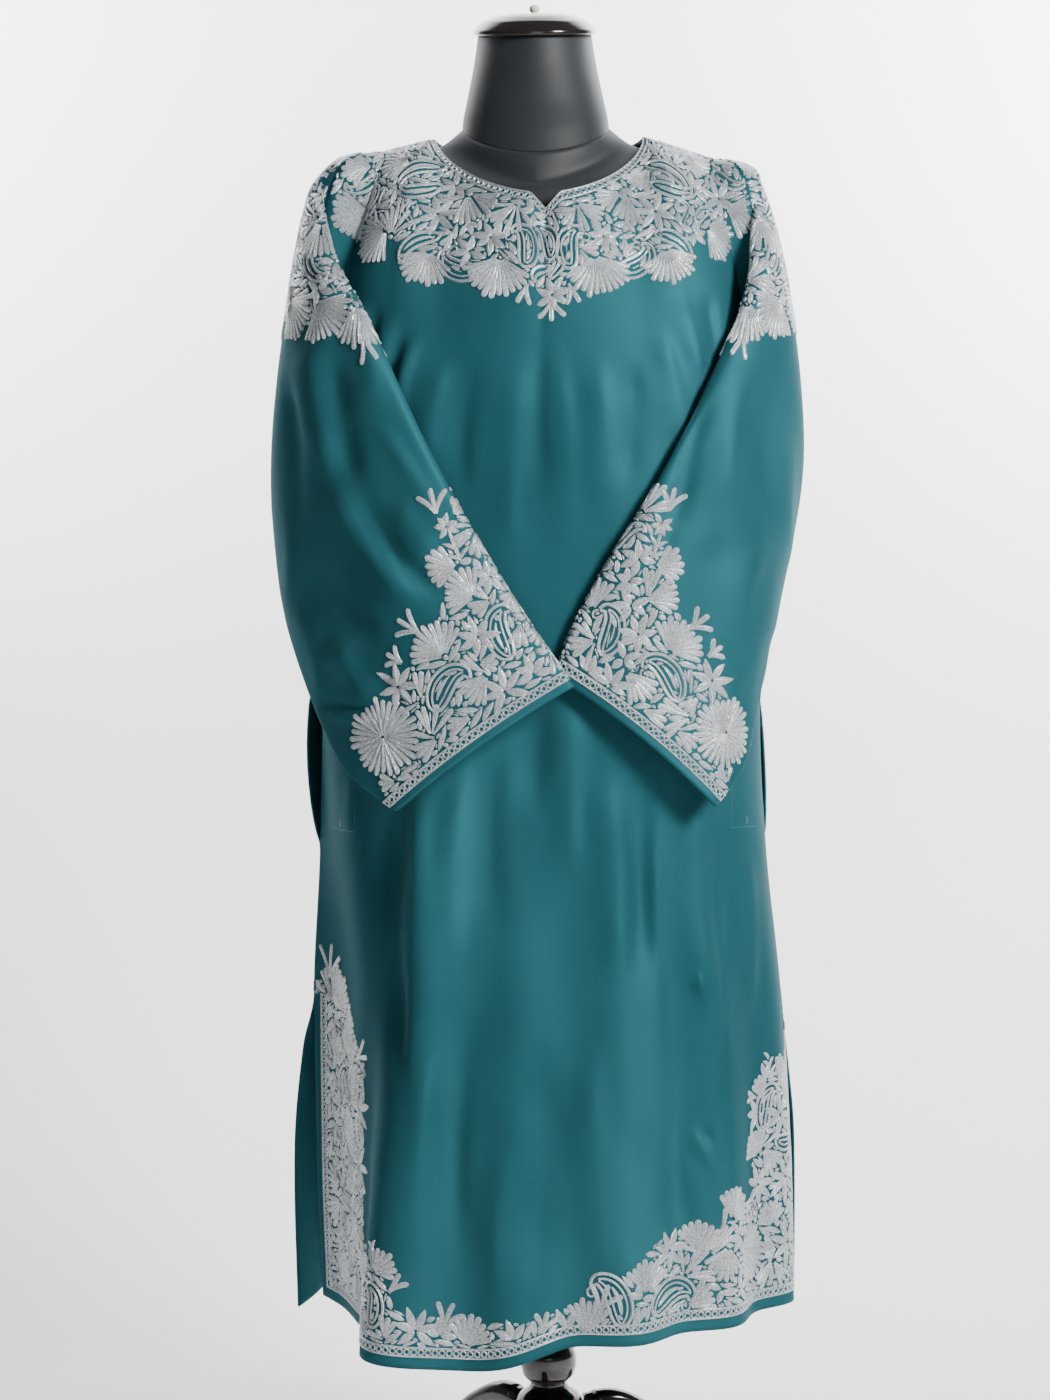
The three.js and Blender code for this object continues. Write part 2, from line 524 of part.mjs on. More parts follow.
// The armhole's own ring, or the cap ring just outside it.
function armholeRing(side, isCap) {
  const ring = [];
  for (let i = 0; i < SLEEVE_POINTS; i += 1) {
    const turn = (2 * i) / SLEEVE_POINTS;
    const panel = turn <= 1 ? 1 : -1;
    const share = turn <= 1 ? turn : 2 - turn;
    const out = isCap ? read(SLEEVE_CAP, 'share', share, 'out') : SEAM;
    const down = isCap ? read(SLEEVE_CAP, 'share', share, 'down') : -SEAM * smooth(1 - 3 * share);
    ring.push(armholePoint(side, panel, share).add(point(side * out, 0, -down)));
  }
  return ring;
}

function sleeveGeometry(side, rows) {
  const grid = [armholeRing(side, false), armholeRing(side, true), ...rows.map((row) => sleeveRing(side, row))];
  const inward = gridNormals(grid, true);
  const centre = grid[4].reduce((sum, v) => sum.add(v), point(0, 0, 0)).divideScalar(SLEEVE_POINTS);
  const sample = inward[4][5];
  const flip = sample.dot(centre.sub(grid[4][5])) < 0 ? -1 : 1;
  inward.forEach((row) => row.forEach((normal) => normal.multiplyScalar(flip)));
  inward[0].forEach((normal, i) => {
    const turn = i / UPPER_ROWS;
    const share = turn <= 1 ? turn : 2 - turn;
    normal.setX(0).normalize();
    if (share < ARMHOLE_TOP_SHARE) normal.copy(armholeInward(turn <= 1 ? 1 : -1, share));
  });
  return wall(grid, inward, true);
}

// ---- Neck binding: a narrow band just inside the neck edge ----
const BINDING = { drop: 4, thick: 1.2, gap: 1.3, sideSlope: 0.25, middleSlope: 1.7 };

// The neck edge's points, once around, each with the ways out of and down the cloth there.
function neckFrames() {
  const frames = [];
  for (const name of ['front', 'back']) {
    const { sign, columns } = PANELS[name];
    const steps = Math.round(NECK_SHARE * (columns - 1));
    for (let i = 0; i < steps; i += 1) {
      const at = sign * NECK_SHARE * (1 - (2 * i) / steps);
      const edge = panelPoint(name, at, 0);
      const away = point(edge.x, edge.y, 0).normalize();
      const turn = (Math.abs(at) / NECK_SHARE) * (Math.PI / 2);
      const slope = mix(BINDING.sideSlope, BINDING.middleSlope, Math.cos(turn));
      const down = away.clone().setZ(-slope).normalize();
      const out = away.multiplyScalar(slope).setZ(1).normalize();
      frames.push({ edge, down, out });
    }
  }
  return frames;
}

function bindingGeometry() {
  const frames = neckFrames();
  const corners = [[0, 0], [BINDING.drop, 0], [BINDING.drop, BINDING.thick], [0, BINDING.thick]];
  const rings = corners.map(([low, deep]) => frames.map(({ edge, down, out }) => {
    const inside = CLOTH + BINDING.gap + deep;
    return edge.clone().addScaledVector(down, low).addScaledVector(out, -inside);
  }));
  const triangles = [];
  const n = frames.length;
  for (let r = 0; r < corners.length; r += 1) {
    for (let i = 0; i < n; i += 1) {
      const next = (i + 1) % n;
      const other = ((r + 1) % corners.length) * n;
      triangles.push(r * n + i, r * n + next, other + next, r * n + i, other + next, other + i);
    }
  }
  return turnOut(makeGeometry(rings.flat(), triangles));
}

// ---- Dress form and stand ----
const FORM_POINTS = 24;

function formRing(row, shift) {
  const ring = [];
  for (let i = 0; i < FORM_POINTS; i += 1) {
    const angle = (2 * Math.PI * i) / FORM_POINTS;
    const across = signedPower(Math.cos(angle), 2 / row.power);
    const out = signedPower(Math.sin(angle), 2 / row.power);
    const end = out < 0 ? row.front : row.back;
    const depth = out < 0 ? row.frontY : row.backY;
    ring.push(point(row.half * across, depth * out, mix(row.side, end, Math.abs(out) ** FORM_ROUND) + shift));
  }
  return ring;
}

// A solid through closed rings, with a fan at each end.
function loft(rings) {
  const vertices = rings.flat();
  const n = rings[0].length;
  const triangles = [];
  for (let r = 0; r < rings.length - 1; r += 1) {
    for (let i = 0; i < n; i += 1) {
      const a = r * n + i;
      const b = r * n + ((i + 1) % n);
      triangles.push(a, b, b + n, a, b + n, a + n);
    }
  }
  for (const ring of [rings[0], rings[rings.length - 1]]) {
    const centre = ring.reduce((sum, v) => sum.add(v), point(0, 0, 0)).divideScalar(n);
    const first = rings.indexOf(ring) * n;
    const hub = vertices.push(centre) - 1;
    const isStart = ring === rings[0];
    for (let i = 0; i < n; i += 1) {
      const a = first + i;
      const b = first + ((i + 1) % n);
      triangles.push(...(isStart ? [hub, b, a] : [hub, a, b]));
    }
  }
  return turnOut(makeGeometry(vertices, triangles));
}

// A turned solid about the vertical axis, from rows of height and radius.
function turned(rows, segments) {
  const top = rows[0];
  const bottom = rows[rows.length - 1];
  const profile = [new THREE.Vector2(0, bottom.z)];
  for (const row of [...rows].reverse()) profile.push(new THREE.Vector2(row.radius, row.z));
  profile.push(new THREE.Vector2(0, top.z));
  const geometry = new THREE.LatheGeometry(profile, segments);
  geometry.rotateX(Math.PI / 2);
  return geometry;
}

function legGeometry() {
  const rings = LEG.map((row, k) => {
    const next = LEG[Math.min(k + 1, LEG.length - 1)];
    const before = LEG[Math.max(k - 1, 0)];
    const run = new THREE.Vector2(next.reach - before.reach, next.z - before.z).normalize();
    if (k === 0 || row.z - row.tall / 2 < 1) run.set(1, 0);
    const ring = [];
    const sides = 8;
    for (let i = 0; i < sides; i += 1) {
      const angle = (2 * Math.PI * (i + 0.5)) / sides;
      const across = signedPower(Math.cos(angle), LEG_ROUND) * row.wide / 2;
      const up = signedPower(Math.sin(angle), LEG_ROUND) * row.tall / 2;
      const z = Math.max(row.z + run.x * up, 0);
      ring.push(point(row.reach - run.y * up, across, row.z - row.tall / 2 < 1 && up < 0 ? 0 : z));
    }
    return ring;
  });
  return loft(rings);
}

// ---- Materials, one per sub-part ----
const velvet = () => new THREE.MeshStandardMaterial({ color: 0x0f4f52, roughness: 0.85 });
const formCloth = () => new THREE.MeshStandardMaterial({ color: 0x14171b, roughness: 0.8 });
const blackLacquer = () => new THREE.MeshStandardMaterial({ color: 0x0b0a0a, roughness: 0.2 });
const paleWood = () => new THREE.MeshStandardMaterial({ color: 0xd8cdb4, roughness: 0.5 });

function part(name, geometry, material) {
  const mesh = new THREE.Mesh(geometry, material);
  mesh.name = name;
  return mesh;
}

const pheran = new THREE.Group();
pheran.add(part('front_panel', panelGeometry('front'), velvet()));
pheran.add(part('back_panel', panelGeometry('back'), velvet()));
pheran.add(part('sleeve_left', sleeveGeometry(-1, LEFT_SLEEVE), velvet()));
pheran.add(part('sleeve_right', sleeveGeometry(1, RIGHT_SLEEVE), velvet()));
pheran.add(part('neck_binding', bindingGeometry(), velvet()));
pheran.add(part('form_torso', loft(TORSO.map((row) => formRing(row, 0))), formCloth()));

const lean = THREE.MathUtils.degToRad(NECK_LEAN.degrees);
const neckRings = NECK_RINGS.map((row) => formRing(row, SEAM));
for (const v of neckRings[neckRings.length - 1]) v.setZ(NECK_LEAN.z + (v.y - NECK_LEAN.y) * Math.tan(lean));
pheran.add(part('form_neck', loft(neckRings), formCloth()));

const cap = part('neck_cap', turned(CAP, 24), blackLacquer());
const knob = part('cap_knob', turned(KNOB, 12), paleWood());
for (const [piece, rise] of [[cap, REST_GAP], [knob, REST_GAP + CAP[0].z + REST_GAP]]) {
  piece.rotation.x = lean;
  piece.position.set(0, NECK_LEAN.y - Math.sin(lean) * rise, NECK_LEAN.z + Math.cos(lean) * rise);
  pheran.add(piece);
}

pheran.add(part('stand_pole', turned(POLE, 20), blackLacquer()));
for (const [name, azimuth] of Object.entries(LEG_AZIMUTHS)) {
  const leg = part(name, legGeometry(), blackLacquer());
  leg.rotation.z = THREE.MathUtils.degToRad(azimuth);
  pheran.add(leg);
}

// The origin is at the middle of the whole object's box, on the floor.
const bounds = new THREE.Box3().setFromObject(pheran, true);
pheran.position.set(-(bounds.min.x + bounds.max.x) / 2, -(bounds.min.y + bounds.max.y) / 2, -bounds.min.z);
pheran.updateMatrixWorld(true);

export default pheran;
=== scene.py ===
# An embroidered velvet pheran on a limbless dress form: cloth, sewing, finishes, room, light and camera.
# Shapes are worked out in millimetres about the form's axis and put down in metres in the row frame.
import math

import bpy
import numpy as np
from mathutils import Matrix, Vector


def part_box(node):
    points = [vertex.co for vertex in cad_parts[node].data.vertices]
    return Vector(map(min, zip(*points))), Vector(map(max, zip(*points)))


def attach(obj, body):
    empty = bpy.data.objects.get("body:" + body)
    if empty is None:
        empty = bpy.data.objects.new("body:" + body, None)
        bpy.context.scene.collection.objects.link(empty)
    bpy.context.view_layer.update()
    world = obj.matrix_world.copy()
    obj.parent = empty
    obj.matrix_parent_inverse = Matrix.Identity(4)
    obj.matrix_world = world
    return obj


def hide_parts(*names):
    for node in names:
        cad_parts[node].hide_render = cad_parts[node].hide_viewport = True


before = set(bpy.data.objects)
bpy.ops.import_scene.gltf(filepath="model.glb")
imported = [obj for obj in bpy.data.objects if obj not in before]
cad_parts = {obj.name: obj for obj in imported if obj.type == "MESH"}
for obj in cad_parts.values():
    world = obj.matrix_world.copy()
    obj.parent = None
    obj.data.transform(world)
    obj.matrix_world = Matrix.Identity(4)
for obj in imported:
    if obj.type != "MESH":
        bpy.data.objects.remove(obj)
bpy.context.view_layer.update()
pole_low, pole_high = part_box("stand_pole")
AXIS = np.array([(pole_low[0] + pole_high[0]) / 2, (pole_low[1] + pole_high[1]) / 2, 0.0])

# ---- Driving sizes, in millimetres ----
CLOTH = 2.0
SEAM = 0.3
NECK_LEFT, NECK_RIGHT, NECK_SIDE_Z = 96.0, 102.0, 1395.0
NOTCH_X, NOTCH_Y, NOTCH_Z, NOTCH_HALF, NOTCH_DEPTH = 8.0, -95.0, 1322.0, 14.0, 15.0
BACK_NECK_Y, BACK_NECK_Z = 66.0, 1376.0
SHOULDER_X = {-1: 148.0, 1: 170.0}
SHOULDER_Z = {-1: 1383.0, 1: 1373.0}
ARM_X, ARM_BOTTOM_Z, ARM_HALF = 206.0, 1130.0, 58.0
# The pocket at each side: top, foot, swell outwards and swell backwards.
POCKETS = {-1: (915.0, 722.0, 15.0, 7.5), 1: (860.0, 722.0, 6.0, 7.5)}
NECK_SHARE = 0.5
# A sleeve's rings: how full their layers are, the way they bow, and how far the outer layer clears the inner.
LAYER_POWER, BOW_WAY, LAYER_CLEAR, LAYER_MOST = 0.55, (0.85, -0.53, 0), 0.8, 16.0
LAST_CAD_COLUMN = {"front": 17 / 18, "back": 11 / 12}

BODY = {
    "z": [230, 420, 564, 710, 820, 980, 1130],
    "left": [220, 225, 225, 217, 213, 210, 206],
    "right": [239, 237, 230, 216, 210, 210, 206],
    "front": [226, 206, 187, 166, 156, 151, 150],
    "back": [166, 150, 136, 126, 118, 108, 105],
    "flap": [38, 46, 46, 22, 6, 0, 0],
    "left_power": [5.0, 4.4, 3.6, 2.9, 2.6, 2.6, 2.6],
    "right_power": [1.75, 1.9, 2.1, 2.3, 2.5, 2.6, 2.6],
    "back_power": [2.3, 2.4, 2.5, 2.6, 2.6, 2.6, 2.6],
}
SIDE_EDGES = {
    "z": [230, 420, 520, 575, 700],
    "front_left_y": [5, 4, 0, 0, 0],
    "front_right_y": [-16, -9, -3, 0, 0],
    "back_left_x": [28, 23, 12, 0, 0],
    "back_left_y": [30, 22, 8, 0, 0],
    "back_right_x": [5, 8, 3, 0, 0],
    "back_right_y": [26, 24, 9, 0, 0],
}
# Main folds: place at the top and at the hem, height where the fold starts, width and depth.
FOLDS = {
    "front": [
        (-0.30, -0.43, 930, 0.09, 18), (-0.46, -0.62, 900, 0.09, -8), (-0.16, -0.22, 800, 0.10, -8),
        (-0.06, -0.09, 760, 0.08, 6), (0.05, 0.06, 780, 0.11, -15), (0.20, 0.24, 820, 0.08, 6),
        (0.34, 0.40, 880, 0.08, -10), (0.48, 0.55, 860, 0.08, 8), (0.64, 0.71, 840, 0.08, -9),
        (0.80, 0.86, 700, 0.07, 7),
    ],
    "back": [
        (-0.72, -0.76, 820, 0.09, 9), (-0.50, -0.56, 980, 0.09, -11), (-0.28, -0.33, 1050, 0.09, 11),
        (-0.06, -0.08, 940, 0.10, -10), (0.16, 0.17, 1020, 0.09, 9), (0.36, 0.40, 900, 0.09, -11),
        (0.58, 0.62, 980, 0.09, 9), (0.78, 0.80, 760, 0.08, -7),
    ],
}
HEM = {
    "front": {"at": [-1, -0.5, -0.2, 0.1, 0.6, 1], "z": [272, 269, 260, 279, 281, 279]},
    "back": {"at": [-1, -0.8, -0.4, 0.4, 1], "z": [254, 268, 282, 286, 281]},
}
YOKE = {
    "at": [0, 0.3, 0.5, 0.75, 0.9, 1],
    "front_out": [-34, -46, -74, -68, -70, -76],
    "front_down": [-62, -44, -10, -12, -18, -26],
    "back_out": [30, 38, 56, 62, 68, 76],
    "back_down": [-50, -36, -8, -10, -16, -26],
    "front_rise": [70, 90, 100, 90, 70, 30],
    "back_rise": [90, 96, 100, 90, 70, 30],
    "lean": [0, 0, 3, 20, 44, 76],
    "aside": [0, 8, 34, 18, 8, 0],
}
SLEEVE = {
    -1: {
        "row": [0, 1, 2, 3, 4, 5, 6, 7],
        "top": [(-207, -38, 1343), (-196, -94, 1290), (-158, -131, 1218), (-113, -154, 1122),
                (-70, -164, 1040), (-31, -166, 974), (3, -172, 922), (29, -181, 884)],
        "under": [(-228, -6, 1072), (-240, -14, 1034), (-245, -22, 1000), (-242, -38, 952),
                  (-229, -64, 902), (-208, -100, 850), (-180, -138, 802), (-135, -170, 770)],
        "half": [35, 24, 17, 14, 12, 10, 8, 7],
        "turn": [60, 22, -8, -30, -45, -58, -70, -82],
        "bow": [5, 8, 18, 25, 30, 26, 18, 8],
        "clear": [6, 6, 6, 6, 6, 7, 9, 12],
    },
    1: {
        "row": [0, 1, 2, 3, 4, 5, 6, 7],
        "top": [(212, -38, 1326), (208, -82, 1272), (182, -110, 1206), (142, -142, 1130),
                (96, -157, 1050), (57, -161, 990), (28, -161, 938), (11, -161, 892)],
        "under": [(226, -6, 1070), (232, -14, 1030), (230, -22, 992), (221, -38, 942),
                  (213, -66, 896), (201, -100, 850), (186, -136, 805), (158, -166, 771)],
        "half": [35, 24, 17, 13, 11, 9, 7, 6.5],
        "turn": [60, 22, -8, -30, -45, -58, -70, -82],
        "bow": [4, 8, 15, 24, 28, 24, 16, 8],
        "clear": [6, 6, 6, 6, 6, 6, 6, 8],
    },
}
CAP_RING = {
    "share": [0, 0.1, 0.25, 0.5, 0.8, 1],
    "out": [34, 24, 14, 20, 19, 16],
    "down": [9, 11, 12, 12, 15, 18],
}
TORSO = {
    "row": list(range(12)),
    "side": [740, 800, 900, 1010, 1110, 1190, 1262, 1326, 1358, 1375, 1387, 1403],
    "front": [740, 800, 900, 1010, 1110, 1190, 1250, 1294, 1326, 1343, 1349, 1376],
    "back": [740, 800, 900, 1010, 1110, 1190, 1258, 1304, 1332, 1358, 1375, 1399],
    "half": [158, 168, 150, 118, 134, 148, 155, 156, 150, 135, 92, 70],
    "front_y": [108, 114, 106, 92, 116, 130, 116, 95, 78, 70, 65, 60],
    "back_y": [100, 104, 96, 80, 84, 88, 82, 72, 64, 60, 57, 54],
    "power": [2.2, 2.2, 2.2, 2.1, 2.1, 2.1, 2.1, 2.0, 1.75, 1.65, 1.5, 2.0],
}
NECK = {
    "row": list(range(5)),
    "side": [1403, 1412, 1431, 1462, 1490],
    "front": [1376, 1396, 1424, 1455, 1482],
    "back": [1399, 1409, 1436, 1469, 1498],
    "half": [70, 69, 65, 58.5, 54],
    "front_y": [60, 61, 66, 68, 66],
    "back_y": [54, 53, 52, 44, 40],
    "power": [2.0, 2.0, 2.0, 2.0, 2.0],
}
LEAN_Y, LEAN_Z, LEAN = -13.0, 1490.0, math.radians(8)
CAP_PROFILE = [(26, 20), (38, 17.5), (49, 13), (55, 8), (59, 4), (59, 0.8), (57.5, 0)]
KNOB_PROFILE = [(2.5, 7), (4.4, 5.8), (5, 3.5), (4.2, 1), (3.4, 0)]
POLE_PROFILE = [
    (26, 739.6), (26, 724), (14, 720), (14, 300), (15, 238), (19, 228), (23, 222), (27, 214),
    (28, 203), (25, 192), (17, 184), (20, 179), (30, 172), (35, 160), (35, 120), (31, 106),
    (20, 98), (14, 90), (8, 82),
]
LEG_AZIMUTHS = {"leg_right": 14, "leg_left": 134, "leg_front": 254}
LEG = {
    "row": list(range(10)),
    "reach": [35.5, 62, 98, 136, 168, 200, 226, 248, 274, 292],
    "z": [146, 152, 138, 104, 66, 36, 21, 13, 12, 11],
    "tall": [46, 40, 34, 30, 27, 25, 25, 26, 24, 22],
    "wide": [24, 24, 24, 23, 22, 22, 23, 26, 28, 22],
}


# ---- Small maths helpers ----
def mix(a, b, share):
    return a + (b - a) * share


def smooth(value):
    t = np.clip(value, 0, 1)
    return t * t * (3 - 2 * t)


def signed_power(value, power):
    return np.sign(value) * np.abs(value) ** power


def unit(vectors):
    return vectors / np.maximum(np.linalg.norm(vectors, axis=-1, keepdims=True), 1e-9)


def stack(x, y, z):
    return np.stack(np.broadcast_arrays(x, y, z), axis=-1).astype(float)


def read(table, key, places, column):
    """A column of a table between its rows, on a smooth curve that never overshoots."""
    xs, ys = np.array(table[key], float), np.array(table[column], float)
    slopes = np.diff(ys) / np.diff(xs)
    alike = slopes[:-1] * slopes[1:] > 0
    inner = np.where(alike, 2 * slopes[:-1] * slopes[1:] / np.where(alike, slopes[:-1] + slopes[1:], 1), 0)
    tangents = np.concatenate([slopes[:1], inner, slopes[-1:]])
    place = np.clip(places, xs[0], xs[-1])
    i = np.clip(np.searchsorted(xs, place, side="right") - 1, 0, len(xs) - 2)
    span = xs[i + 1] - xs[i]
    t = (place - xs[i]) / span
    start = (2 * t**3 - 3 * t**2 + 1) * ys[i] + (t**3 - 2 * t**2 + t) * span * tangents[i]
    return start + (3 * t**2 - 2 * t**3) * ys[i + 1] + (t**3 - t**2) * span * tangents[i + 1]


def curve_through(points, places):
    """A smooth curve through rows of points, at places counted in rows."""
    points = np.asarray(points, float)
    tangents = np.gradient(points, axis=0)
    i = np.clip(np.floor(places).astype(int), 0, len(points) - 2)
    t = (places - i).reshape((-1,) + (1,) * (points.ndim - 1))
    start = (2 * t**3 - 3 * t**2 + 1) * points[i] + (t**3 - 2 * t**2 + t) * tangents[i]
    return start + (3 * t**2 - 2 * t**3) * points[i + 1] + (t**3 - t**2) * tangents[i + 1]


# ---- Body sections and panels ----
WALK_STEPS = 160


def section(sign, at, z):
    """Points of the body's section at heights z, at share |at| of the cloth from the centre to the edge."""
    at, z = np.broadcast_arrays(at, z)
    shape = at.shape
    at, z = at.ravel(), z.ravel()
    is_left = at < 0
    front = sign < 0
    width = np.where(is_left, read(BODY, "z", z, "left"), read(BODY, "z", z, "right"))
    depth = read(BODY, "z", z, "front" if front else "back")

    def edge_of(column):
        return read(SIDE_EDGES, "z", z, column)

    if front:
        power = np.where(is_left, read(BODY, "z", z, "left_power"), read(BODY, "z", z, "right_power"))
        flap = np.where(is_left, read(BODY, "z", z, "flap"), 0)
        edge_x = np.zeros_like(z)
    else:
        power = read(BODY, "z", z, "back_power")
        flap = np.zeros_like(z)
        edge_x = np.where(is_left, edge_of("back_left_x"), edge_of("back_right_x"))
    word = "front" if front else "back"
    edge_y = np.where(is_left, edge_of(f"{word}_left_y"), edge_of(f"{word}_right_y"))
    x, y = np.empty_like(z), np.empty_like(z)
    angle = np.linspace(0, math.pi / 2, WALK_STEPS + 1)
    for low in range(0, len(z), 8000):
        part = slice(low, low + 8000)
        p = 2 / power[part, None]
        across, out = np.sin(angle) ** p, np.abs(np.cos(angle)) ** p
        xs = (width[part, None] - flap[part, None]) * across
        xs = xs + (flap[part, None] + edge_x[part, None]) * (1 - out) ** 4
        ys = mix(edge_y[part, None], sign * depth[part, None], out)
        steps = np.hypot(np.diff(xs, axis=1), np.diff(ys, axis=1))
        lengths = np.concatenate([np.zeros((len(steps), 1)), np.cumsum(steps, axis=1)], axis=1)
        target = np.abs(at[part]) * lengths[:, -1]
        i = np.clip((lengths < target[:, None]).sum(axis=1), 1, WALK_STEPS)
        n = np.arange(len(i))
        share = (target - lengths[n, i - 1]) / np.maximum(lengths[n, i] - lengths[n, i - 1], 1e-9)
        x[part] = mix(xs[n, i - 1], xs[n, i], share)
        y[part] = mix(ys[n, i - 1], ys[n, i], share)
    x = np.where(is_left, -x, x)
    return stack(x, y, z).reshape(shape + (3,))


def fold_depth(name, at, z):
    depth = np.zeros(np.broadcast(at, z).shape)
    for top_at, hem_at, start_z, width, fold in FOLDS[name]:
        along = (start_z - z) / (start_z - 260)
        centre = mix(top_at, hem_at, np.clip(along, 0, 1))
        depth = depth + fold * smooth(along) ** 0.8 * np.exp(-(((at - centre) / width) ** 2))
    return depth * smooth((1 - np.abs(at)) / 0.12)


def armhole_point(side, sign, share):
    angle = share * math.pi
    z = mix(SHOULDER_Z[side], ARM_BOTTOM_Z, (1 - np.cos(angle)) / 2)
    x = side * mix(ARM_X, SHOULDER_X[side], (1 - share) ** 6)
    return stack(x, sign * ARM_HALF * np.clip(np.sin(angle), 0, 1) ** 0.85, z)


def neck_point(sign, share):
    angle = np.abs(share) * math.pi / 2
    half = np.where(share < 0, -NECK_LEFT, NECK_RIGHT)
    level = np.clip(np.cos(angle), 0, 1)
    if sign > 0:
        drop = (NECK_SIDE_Z - BACK_NECK_Z) * level**1.6
        return stack(half * np.sin(angle), BACK_NECK_Y * level**0.9, NECK_SIDE_Z - drop)
    x = NOTCH_X * (1 - np.abs(share)) + half * np.sin(angle) ** 1.1
    fall = level**1.2
    notch = np.clip(1 - np.abs(x - NOTCH_X) / NOTCH_HALF, 0, 1)
    z = NECK_SIDE_Z - (NECK_SIDE_Z - NOTCH_Z - NOTCH_DEPTH) * fall - NOTCH_DEPTH * notch
    return stack(x, NOTCH_Y * fall - 2 * notch, z)


def top_point(sign, at):
    along = np.clip((np.abs(at) - NECK_SHARE) / (1 - NECK_SHARE), 0, 1)
    left = at < 0
    x = np.where(left, -mix(NECK_LEFT, SHOULDER_X[-1], along), mix(NECK_RIGHT, SHOULDER_X[1], along))
    z = np.where(left, mix(NECK_SIDE_Z, SHOULDER_Z[-1], along), mix(NECK_SIDE_Z, SHOULDER_Z[1], along))
    neck = neck_point(sign, np.clip(at / NECK_SHARE, -1, 1))
    return np.where((np.abs(at) <= NECK_SHARE)[..., None], neck, stack(x, np.zeros_like(x), z))


def panel_points(name, at, down):
    """Points of a panel: at from -1 to 1 across, down from 0 at the top edge through 1 at the armpit to 2."""
    sign = -1 if name == "front" else 1
    at, down = np.broadcast_arrays(at, down)
    size = np.abs(at)
    start, end = top_point(sign, at), section(sign, at, np.full(at.shape, ARM_BOTTOM_Z))

    def get(column):
        return read(YOKE, "at", size, column)

    zero = np.zeros(at.shape)
    first = start + stack(np.sign(at) * get("aside"), get(f"{name}_out"), get(f"{name}_down"))
    second = end + stack(zero, sign * get("lean"), get(f"{name}_rise"))
    t = np.clip(down, 0, 1)[..., None]
    upper = (1 - t) ** 3 * start + 3 * t * (1 - t) ** 2 * first + 3 * t**2 * (1 - t) * second + t**3 * end
    last = LAST_CAD_COLUMN[name]
    weight = np.clip((size - last) / (1 - last), 0, 1)[..., None] ** 1.3
    for side in (-1, 1):
        share = np.clip(down, 0, 1)
        edge = armhole_point(side, sign, share)
        end_edge = section(sign, np.full(at.shape, float(side)), np.full(at.shape, ARM_BOTTOM_Z))
        start_edge = top_point(sign, np.full(at.shape, float(side)))
        first_edge = start_edge + np.array([0, YOKE[f"{name}_out"][-1], YOKE[f"{name}_down"][-1]])
        second_edge = end_edge + np.array([0, sign * YOKE["lean"][-1], YOKE[f"{name}_rise"][-1]])
        plain = (1 - t) ** 3 * start_edge + 3 * t * (1 - t) ** 2 * first_edge
        plain = plain + 3 * t**2 * (1 - t) * second_edge + t**3 * end_edge
        upper = np.where((np.sign(at) == side)[..., None], upper + (edge - plain) * weight, upper)
    hem_z = read(HEM[name], "at", at, "z")
    z = mix(ARM_BOTTOM_Z, hem_z, np.clip(down - 1, 0, 1))
    lower = section(sign, at, z)
    along = unit(section(sign, np.clip(at + 0.01, -1, 1), z) - section(sign, np.clip(at - 0.01, -1, 1), z))
    depth = fold_depth(name, at, z)
    lower[..., 0] += -sign * along[..., 1] * depth
    lower[..., 1] += sign * along[..., 0] * depth
    if name == "back":
        for side, (high, low, out, back) in POCKETS.items():
            height = np.clip((z - low) / (high - low), 0, 1)
            swell = np.clip(np.sin(math.pi * height), 0, 1) ** 0.7 * smooth((side * at - 0.7) / 0.3)
            lower[..., 0] += side * out * swell
            lower[..., 1] += back * swell
    place = np.where((down <= 1)[..., None], upper, lower)
    place[..., 1] += sign * SEAM / 2
    return place


# ---- Sleeves ----
def body_reach(x, y, z):
    level = np.minimum(z, ARM_BOTTOM_Z)
    left, front = x < 0, y < 0
    width = np.where(left, read(BODY, "z", level, "left"), read(BODY, "z", level, "right"))
    depth = np.where(front, read(BODY, "z", level, "front"), read(BODY, "z", level, "back"))
    sides = np.where(left, read(BODY, "z", level, "left_power"), read(BODY, "z", level, "right_power"))
    power = np.where(front, sides, read(BODY, "z", level, "back_power"))
    radius = np.maximum(np.hypot(x, y), 1e-6)
    shrink = np.where((z > ARM_BOTTOM_Z) & front, mix(1, 0.72, smooth((z - 1200) / 170)), 1)
    inverse = (np.abs(x / radius) / width) ** power + (np.abs(y / radius) / (depth * shrink)) ** power
    return inverse ** (-1 / power)


def pushed_clear(points, clearance):
    radius = np.hypot(points[..., 0], points[..., 1])
    least = body_reach(points[..., 0], points[..., 1], points[..., 2]) + clearance
    scale = np.maximum(least / np.maximum(radius, 1e-6), 1)
    return points * np.stack([scale, scale, np.ones_like(scale)], axis=-1)


